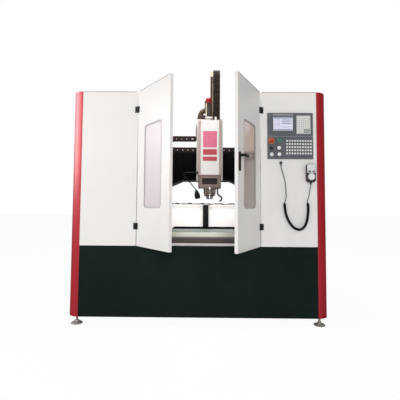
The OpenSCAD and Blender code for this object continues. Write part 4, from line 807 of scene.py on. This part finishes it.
WINDOW_LEFT, WINDOW_LOW, WINDOW_W, WINDOW_H, WINDOW_R = 130.0, 326.0, 275.0, 684.0, 30.0
WINDOW_MID = (WINDOW_LEFT + WINDOW_W / 2, 0.0, WINDOW_LOW + WINDOW_H / 2)
SEAL = [(-3.5, 8.2), (-4.0, 6.6), (-2.0, 5.6), (3.0, 5.6), (5.0, 6.6), (4.8, 8.2)]
RETAINER = [(-6.0, 14.9), (-6.0, 18.0), (13.0, 18.0), (13.6, 14.9)]
STUD = lathe([(3.4, 0.0), (3.4, 0.5), (2.9, 1.1), (1.6, 1.4), (0.5, 1.4)], 14)
LEAF_SCREW_X = 15.5
LEAF_SCREW_Z = [z + dz for z in (167.0, 1175.0) for dz in (-17.0, 17.0)]
SHADE_LINE = (4.6, 0.9, 1.5, 0.4)  # height, thickness, corner and eased edge
SHADE_LINE_DROP = 3.0
DOOR_SHADE_LINE_W, PANEL_SHADE_LINE_W, PANEL_MID = 524.0, 464.0, 780.0
for side, label, body in ((-1, "left", "left_door"), (1, "right", "right_door")):
    for kind, section in (("window_seal", SEAL), ("window_retainer", RETAINER)):
        ring = moved(window_ring(section, WINDOW_W / 2, WINDOW_H / 2, WINDOW_R), WINDOW_MID)
        piece(f"{label}_{kind}", [on_door(ring, side)], "seal_grey", body)
    screws = repeated(facing_front(STUD), [(LEAF_SCREW_X, 3.0, z) for z in LEAF_SCREW_Z])
    piece(f"{label}_leaf_screws", [on_door(screws, side)], "fastener", body)
    # Painted shade: a grey strip just under the top edge of each door and fascia panel stands for the edge's shadow
    door_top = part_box(f"{label}_door")[1][2] / MM - BASE_TOP
    shade_line = moved(slab(DOOR_SHADE_LINE_W, *SHADE_LINE), (268.0, 8.3, door_top - SHADE_LINE_DROP))
    piece(f"{label}_door_shade_line", [on_door(shade_line, side)], "edge_shade", body)
    shade_line = moved(slab(PANEL_SHADE_LINE_W, *SHADE_LINE), (side * PANEL_MID, 0.2, TOP - SHADE_LINE_DROP))
    piece(f"{label}_panel_shade_line", [shade_line], "edge_shade", "frame")

fixed_spots = [(s * (OPENING / 2 + LEAF_SCREW_X), -5.0, BASE_TOP + z) for s in (-1, 1) for z in LEAF_SCREW_Z]
piece("frame_leaf_screws", [repeated(facing_front(STUD), fixed_spots)], "fastener", "frame")


# Cabinet: edge trim on the rear panel and flat screws along the panels

TRIM_END, TRIM_Y, TRIM_Z, TRIM_R = 1068.0, 1733.0, 1047.0, 8.0
trim_x = np.linspace(-TRIM_END, TRIM_END, 400)
trim_z = TRIM_Z + 3.0 * np.sin(trim_x / 31.0) + 2.0 * np.sin(trim_x / 13.0)  # it lies a little wavy on the edge
trim_line = np.stack([trim_x, np.full_like(trim_x, TRIM_Y), trim_z], -1)
trim_r = TRIM_R + 3.6 * np.sin(trim_x / 17.0) * np.sin(trim_x / 71.0)
trim = piece("rear_edge_trim", [tube(trim_line, trim_r, 14)], "cord_rubber", "frame")

FLAT_HEAD = lathe([(5.5, -0.6), (5.5, 0.0), (4.8, 0.08), (0.6, 0.08)], 16)
BASE_SCREW_Z = (104.0, 374.0, 644.0)
SIDE_SCREW_Z = BASE_SCREW_Z + (700.0, 1341.0, 1982.0)
REAR_SCREW_Z = BASE_SCREW_Z + (700.0, 1012.0)
SIDE_SCREW_Y = (112.0, 920.0, 1726.0)
REAR_SCREW_X = np.linspace(-1040, 1040, 5)
x, y, z = FLAT_HEAD[0].T
screw_rows = []
for side in (-1, 1):
    outward = (np.stack([side * z, y, x], -1), FLAT_HEAD[1])
    screw_rows.append(repeated(outward, [(side * HALF_WIDTH, sy, sz) for sy in SIDE_SCREW_Y for sz in SIDE_SCREW_Z]))
rearward = (np.stack([x, z, y], -1), FLAT_HEAD[1])
screw_rows.append(repeated(rearward, [(sx, DEPTH, sz) for sx in REAR_SCREW_X for sz in REAR_SCREW_Z]))
piece("panel_screws", screw_rows, "fastener", "frame")


# Control panel: screen layout, key caps, bezels, collar

def front_plates(rects, y, t, r, edge=0.0):
    """Plates (x, z, w, h) given by their middles, standing from y forward by t."""
    return [moved(slab(w, h, t, r, edge, 4), (x, y, z)) for x, z, w, h in rects]


PANEL_LEFT = PANEL_X - 195.5
SCREEN_X, SCREEN_Z = PANEL_LEFT + 50 + 84, UNIT_Z + 205 - 37 - 60
ink = [(SCREEN_X, SCREEN_Z + 52, 158, 7), (SCREEN_X, SCREEN_Z - 52, 158, 7), (SCREEN_X + 22, SCREEN_Z + 40, 1.6, 8)]
ink += [(SCREEN_X - 48, SCREEN_Z + 38 - 11 * i, 52, 1.8) for i in range(8)]
ink += [(SCREEN_X + 30, SCREEN_Z + 34 - 16 * i, 84, 5.5) for i in range(3)]
ink += [(SCREEN_X + 30, SCREEN_Z - 20 - 9 * i, 84, 1.6) for i in range(3)]
piece("screen_layout", front_plates(ink, -10.9, 0.3, 0.4), "screen_ink", "frame")

strip = front_plates([(SCREEN_X, UNIT_Z + 188, 176, 16)], -10.0, 1.0, 3.0, 0.4)
piece("bare_strip", strip, "strip_pale", "frame")

joint = front_plates([(PANEL_X, UNIT_Z - 0.5, 388, 3.0)], -9.8, 0.8, 0.6)
piece("unit_joint", joint, "strip_pale", "frame")

KEY_X, KEY_Z = PANEL_LEFT + 249.5 + 8.5, UNIT_Z + 21.5 + 8.5
data_keys = [(KEY_X + i * 107 / 6 + 7.4, KEY_Z + j * 146 / 8 + 7.6, 14.2, 14.6) for i in range(6) for j in range(8)]
plain = [key for n, key in enumerate(data_keys) if n % 8 not in (0, 1) or n < 24]  # the rest edit the program
dark = [key for key in data_keys if key not in plain]
piece("data_keys", front_plates(plain, -12.8, 1.4, 2.4, 0.8), "key_white", "frame")
piece("edit_keys", front_plates(dark, -12.8, 1.4, 2.4, 0.8), "key_dark", "frame")

panel_keys = [(PANEL_X - 28 + i * 22.6, OPERATOR_Z + 48 + j * 27.2, 14.6, 14.6) for i in range(10) for j in range(5)]
piece("panel_keys", front_plates(panel_keys, -11.6, 1.4, 2.6, 0.8), "key_white", "frame")
lamps = [(x, z + 11.6, 4.0, 2.2) for x, z, w, h in panel_keys]
piece("key_lamps", front_plates(lamps, -9.9, 0.7, 0.8), "start_green", "frame")

STOP = (PANEL_X - 163.5, OPERATOR_Z + 157)
START = (PANEL_X - 98.5, OPERATOR_Z + 158)
ROUND = [(PANEL_X - 98.5, OPERATOR_Z + 95), (PANEL_X - 161.5, OPERATOR_Z + 38), (PANEL_X - 95.5, OPERATOR_Z + 39)]


def ring_plate(inner, outer, back, front):
    """A flat ring about the Z axis with an eased outer edge."""
    edge = min(1.0, (front - back) / 2)
    section = [(inner, back), (outer, back), (outer, front - edge), (outer - edge, front), (inner, front)]
    rings = [np.insert(circle(r, 48), 2, h, axis=1) for r, h in section]
    return closed_loft(rings)


def bezel(at, outer, high):
    """A ring round a control's stem, standing on the panel's plate."""
    return moved(facing_front(ring_plate(10.2, outer, 0.0, high)), (at[0], -PLATE, at[1]))


piece("stop_collar", [bezel(STOP, 28.4, 6.6)], "collar_orange", "frame")
bezels = [bezel(at, 21.0, 0.9) for at in ROUND] + [bezel(START, 17.0, 0.9)]
piece("button_bezels", bezels, "knob_black", "frame")

CORNER_Z = (UNIT_Z + 7, UNIT_Z + 198, OPERATOR_Z + 7, OPERATOR_Z + 189)
corner = [(PANEL_X + side * 188, -PLATE, z) for side in (-1, 1) for z in CORNER_Z]
piece("panel_corner_screws", [repeated(facing_front(STUD), corner)], "fastener", "frame")


# Hand pendant: rounded case on its magnet pads, pale face with tick marks round the wheel

PENDANT_X, PENDANT_Z, PENDANT_H, PENDANT_W, PENDANT_R = 956.0, 1222.0, 156.0, 79.0, 22.0
FACE_Z, WHEEL_Z, WHEEL_SEAT = 1336.0, 1268.0, 40.0


def pendant_shell():
    """Rounded outlines from the back at y = -4 to the front at y = -40, drawn in by quarter circles at both edges."""
    a = np.linspace(0, math.pi / 2, 6)
    front = [(-40 + 6 * (1 - math.sin(q)), 6 * (1 - math.cos(q))) for q in a]
    back = [(-4 - 4 * (1 - math.cos(q)), 4 * (1 - math.sin(q))) for q in a]
    rings = []
    for y, i in back + front:
        outline = rounded(PENDANT_W - 2 * i, PENDANT_H - 2 * i, PENDANT_R - i, 10)
        rings.append(np.insert(outline, 1, y, axis=1))
    return moved(loft(rings), (PENDANT_X, 0.0, PENDANT_Z + PENDANT_H / 2))


pad = facing_front(lathe([(15.0, 0.0), (16.0, 0.8), (16.0, 4.4)], 32))
pads = [moved(pad, (PENDANT_X, 0.0, PENDANT_Z + z)) for z in (32, 124)]
tail = moved(lathe([(5.0, 0.0), (5.6, 4.0), (5.2, 5.0), (6.6, 9.0), (6.2, 10.0), (9.0, 15.0), (9.0, 24.0)], 24),
             (PENDANT_X, CORD_Y, PENDANT_Z - 20))
case = piece("pendant_body", [pendant_shell(), tail] + pads, "pendant_shell", "frame")
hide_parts("pendant_case")
face = moved(slab(70.0, 76.0, 3.4, 15.0, 0.8, 10), (PENDANT_X, -39.6, FACE_Z))
piece("pendant_faceplate", [face], "pendant_face", "frame")

TICKS = 40
tick = box_at((29.2, -0.3, -0.35), (31.4, 0.2, 0.35))
x, y, z = tick[0].T
ticks = []
for q in np.linspace(0, 2 * math.pi, TICKS, endpoint=False):
    c, s = math.cos(q), math.sin(q)
    ticks.append((np.stack([x * c - z * s + PENDANT_X, y - WHEEL_SEAT, x * s + z * c + WHEEL_Z], -1), tick[1]))
piece("wheel_ticks", ticks, "key_white", "frame")


# Floor, light and background

def ray_mask(tree):
    """1 for camera and transmission rays, else 0."""
    path = tree.nodes.new("ShaderNodeLightPath")
    either = tree.nodes.new("ShaderNodeMath")
    either.operation = "MAXIMUM"
    tree.links.new(path.outputs["Is Camera Ray"], either.inputs[0])
    tree.links.new(path.outputs["Is Transmission Ray"], either.inputs[1])
    return either.outputs[0]


AMBIENT, AMBIENT_MIRRORED = 0.26, 0.12  # gloss sees a darker room than matt surfaces do
world = bpy.data.worlds.new("studio")
bpy.context.scene.world = world
world.use_nodes = True
tree = world.node_tree
tree.nodes.clear()
dim = tree.nodes.new("ShaderNodeBackground")
dim.inputs["Color"].default_value = (1.0, 0.99, 0.98, 1.0)
mirror = tree.nodes.new("ShaderNodeLightPath")
ambient = tree.nodes.new("ShaderNodeMapRange")
ambient.inputs["To Min"].default_value = AMBIENT
ambient.inputs["To Max"].default_value = AMBIENT_MIRRORED
tree.links.new(mirror.outputs["Is Glossy Ray"], ambient.inputs["Value"])
tree.links.new(ambient.outputs["Result"], dim.inputs["Strength"])
white = tree.nodes.new("ShaderNodeBackground")
white.inputs["Color"].default_value = (1.0, 1.0, 1.0, 1.0)
mix = tree.nodes.new("ShaderNodeMixShader")
out = tree.nodes.new("ShaderNodeOutputWorld")
tree.links.new(ray_mask(tree), mix.inputs["Fac"])
tree.links.new(dim.outputs["Background"], mix.inputs[1])
tree.links.new(white.outputs["Background"], mix.inputs[2])
tree.links.new(mix.outputs["Shader"], out.inputs["Surface"])

FLOOR = 40.0
floor_mesh = bpy.data.meshes.new("studio_floor")
floor_corners = [(-FLOOR, -FLOOR, 0), (FLOOR, -FLOOR, 0), (FLOOR, FLOOR, 0), (-FLOOR, FLOOR, 0)]
floor_mesh.from_pydata(floor_corners, [], [(0, 1, 2, 3)])
floor = bpy.data.objects.new("studio_floor", floor_mesh)
bpy.context.scene.collection.objects.link(floor)
paper = bpy.data.materials.new("studio_paper")
paper.use_nodes = True
tree = paper.node_tree
matte = tree.nodes["Principled BSDF"]
PAPER, PAPER_MIRRORED, PAPER_GLOW = 0.86, 0.12, 0.96
seen = tree.nodes.new("ShaderNodeLightPath")
shade = tree.nodes.new("ShaderNodeMapRange")
shade.inputs["To Min"].default_value = PAPER
shade.inputs["To Max"].default_value = PAPER_MIRRORED
tree.links.new(seen.outputs["Is Glossy Ray"], shade.inputs["Value"])
tree.links.new(shade.outputs["Result"], matte.inputs["Base Color"])
matte.inputs["Roughness"].default_value = 0.9
glow = tree.nodes.new("ShaderNodeEmission")
glow.inputs["Strength"].default_value = 1.0
share = tree.nodes.new("ShaderNodeMath")
share.operation = "MULTIPLY"
share.inputs[1].default_value = PAPER_GLOW
tree.links.new(ray_mask(tree), share.inputs[0])
mix = tree.nodes.new("ShaderNodeMixShader")
tree.links.new(share.outputs[0], mix.inputs["Fac"])
tree.links.new(matte.outputs["BSDF"], mix.inputs[1])
tree.links.new(glow.outputs["Emission"], mix.inputs[2])
tree.links.new(mix.outputs["Shader"], tree.nodes["Material Output"].inputs["Surface"])
floor_mesh.materials.append(paper)


def lamp(name, at, aim, wide, tall, power, mirrored=True, spreads=True):
    """A soft box at a point, turned to look at another; mirrored in gloss or not, lighting matt surfaces or not."""
    data = bpy.data.lights.new(name, "AREA")
    data.shape = "RECTANGLE"
    data.size = wide
    data.size_y = tall
    data.energy = power
    obj = bpy.data.objects.new(name, data)
    obj.visible_glossy = mirrored
    obj.visible_diffuse = spreads
    bpy.context.scene.collection.objects.link(obj)
    z = unit(np.array(at, float) - np.array(aim, float))
    x = unit(np.cross((0.0, 0.0, 1.0), z))
    turn = Matrix(np.stack([x, np.cross(z, x), z], -1).tolist()).to_4x4()
    obj.matrix_world = Matrix.Translation(at) @ turn


lamp("key_box", (-5.0, -4.2, 3.0), (-0.4, 0.0, 1.1), 2.6, 2.6, 88.0, mirrored=False)
lamp("front_box", (0.3, -7.0, 2.2), (0.1, 0.2, 1.0), 2.0, 2.0, 136.0)
lamp("side_box", (4.5, -4.5, 2.4), (0.3, -0.6, 1.1), 2.0, 2.0, 26.0, mirrored=False)
lamp("top_box", (0.1, -0.5, 4.2), (0.1, 0.3, 0.9), 1.0, 1.0, 110.0)
lamp("wall_box", (0.05, 0.6, 0.99), (0.05, 1.12, 0.87), 1.1, 0.1, 3.5)
lamp("back_box", (0.6, 5.5, 3.6), (0.0, 0.0, 1.2), 3.0, 3.0, 60.0)
lamp("door_box", (-4.5, -1.2, 1.6), (-0.33, -0.9, 1.2), 1.5, 1.5, 25.0, mirrored=False)
# Seen in gloss only: a long highlight on the left column and a sheen on the left door's window
lamp("window_box", (-2.55, -1.15, 2.05), (-1.06, -0.6, 1.85), 2.4, 1.4, 84.0, spreads=False)

bpy.context.scene.view_settings.view_transform = "Standard"
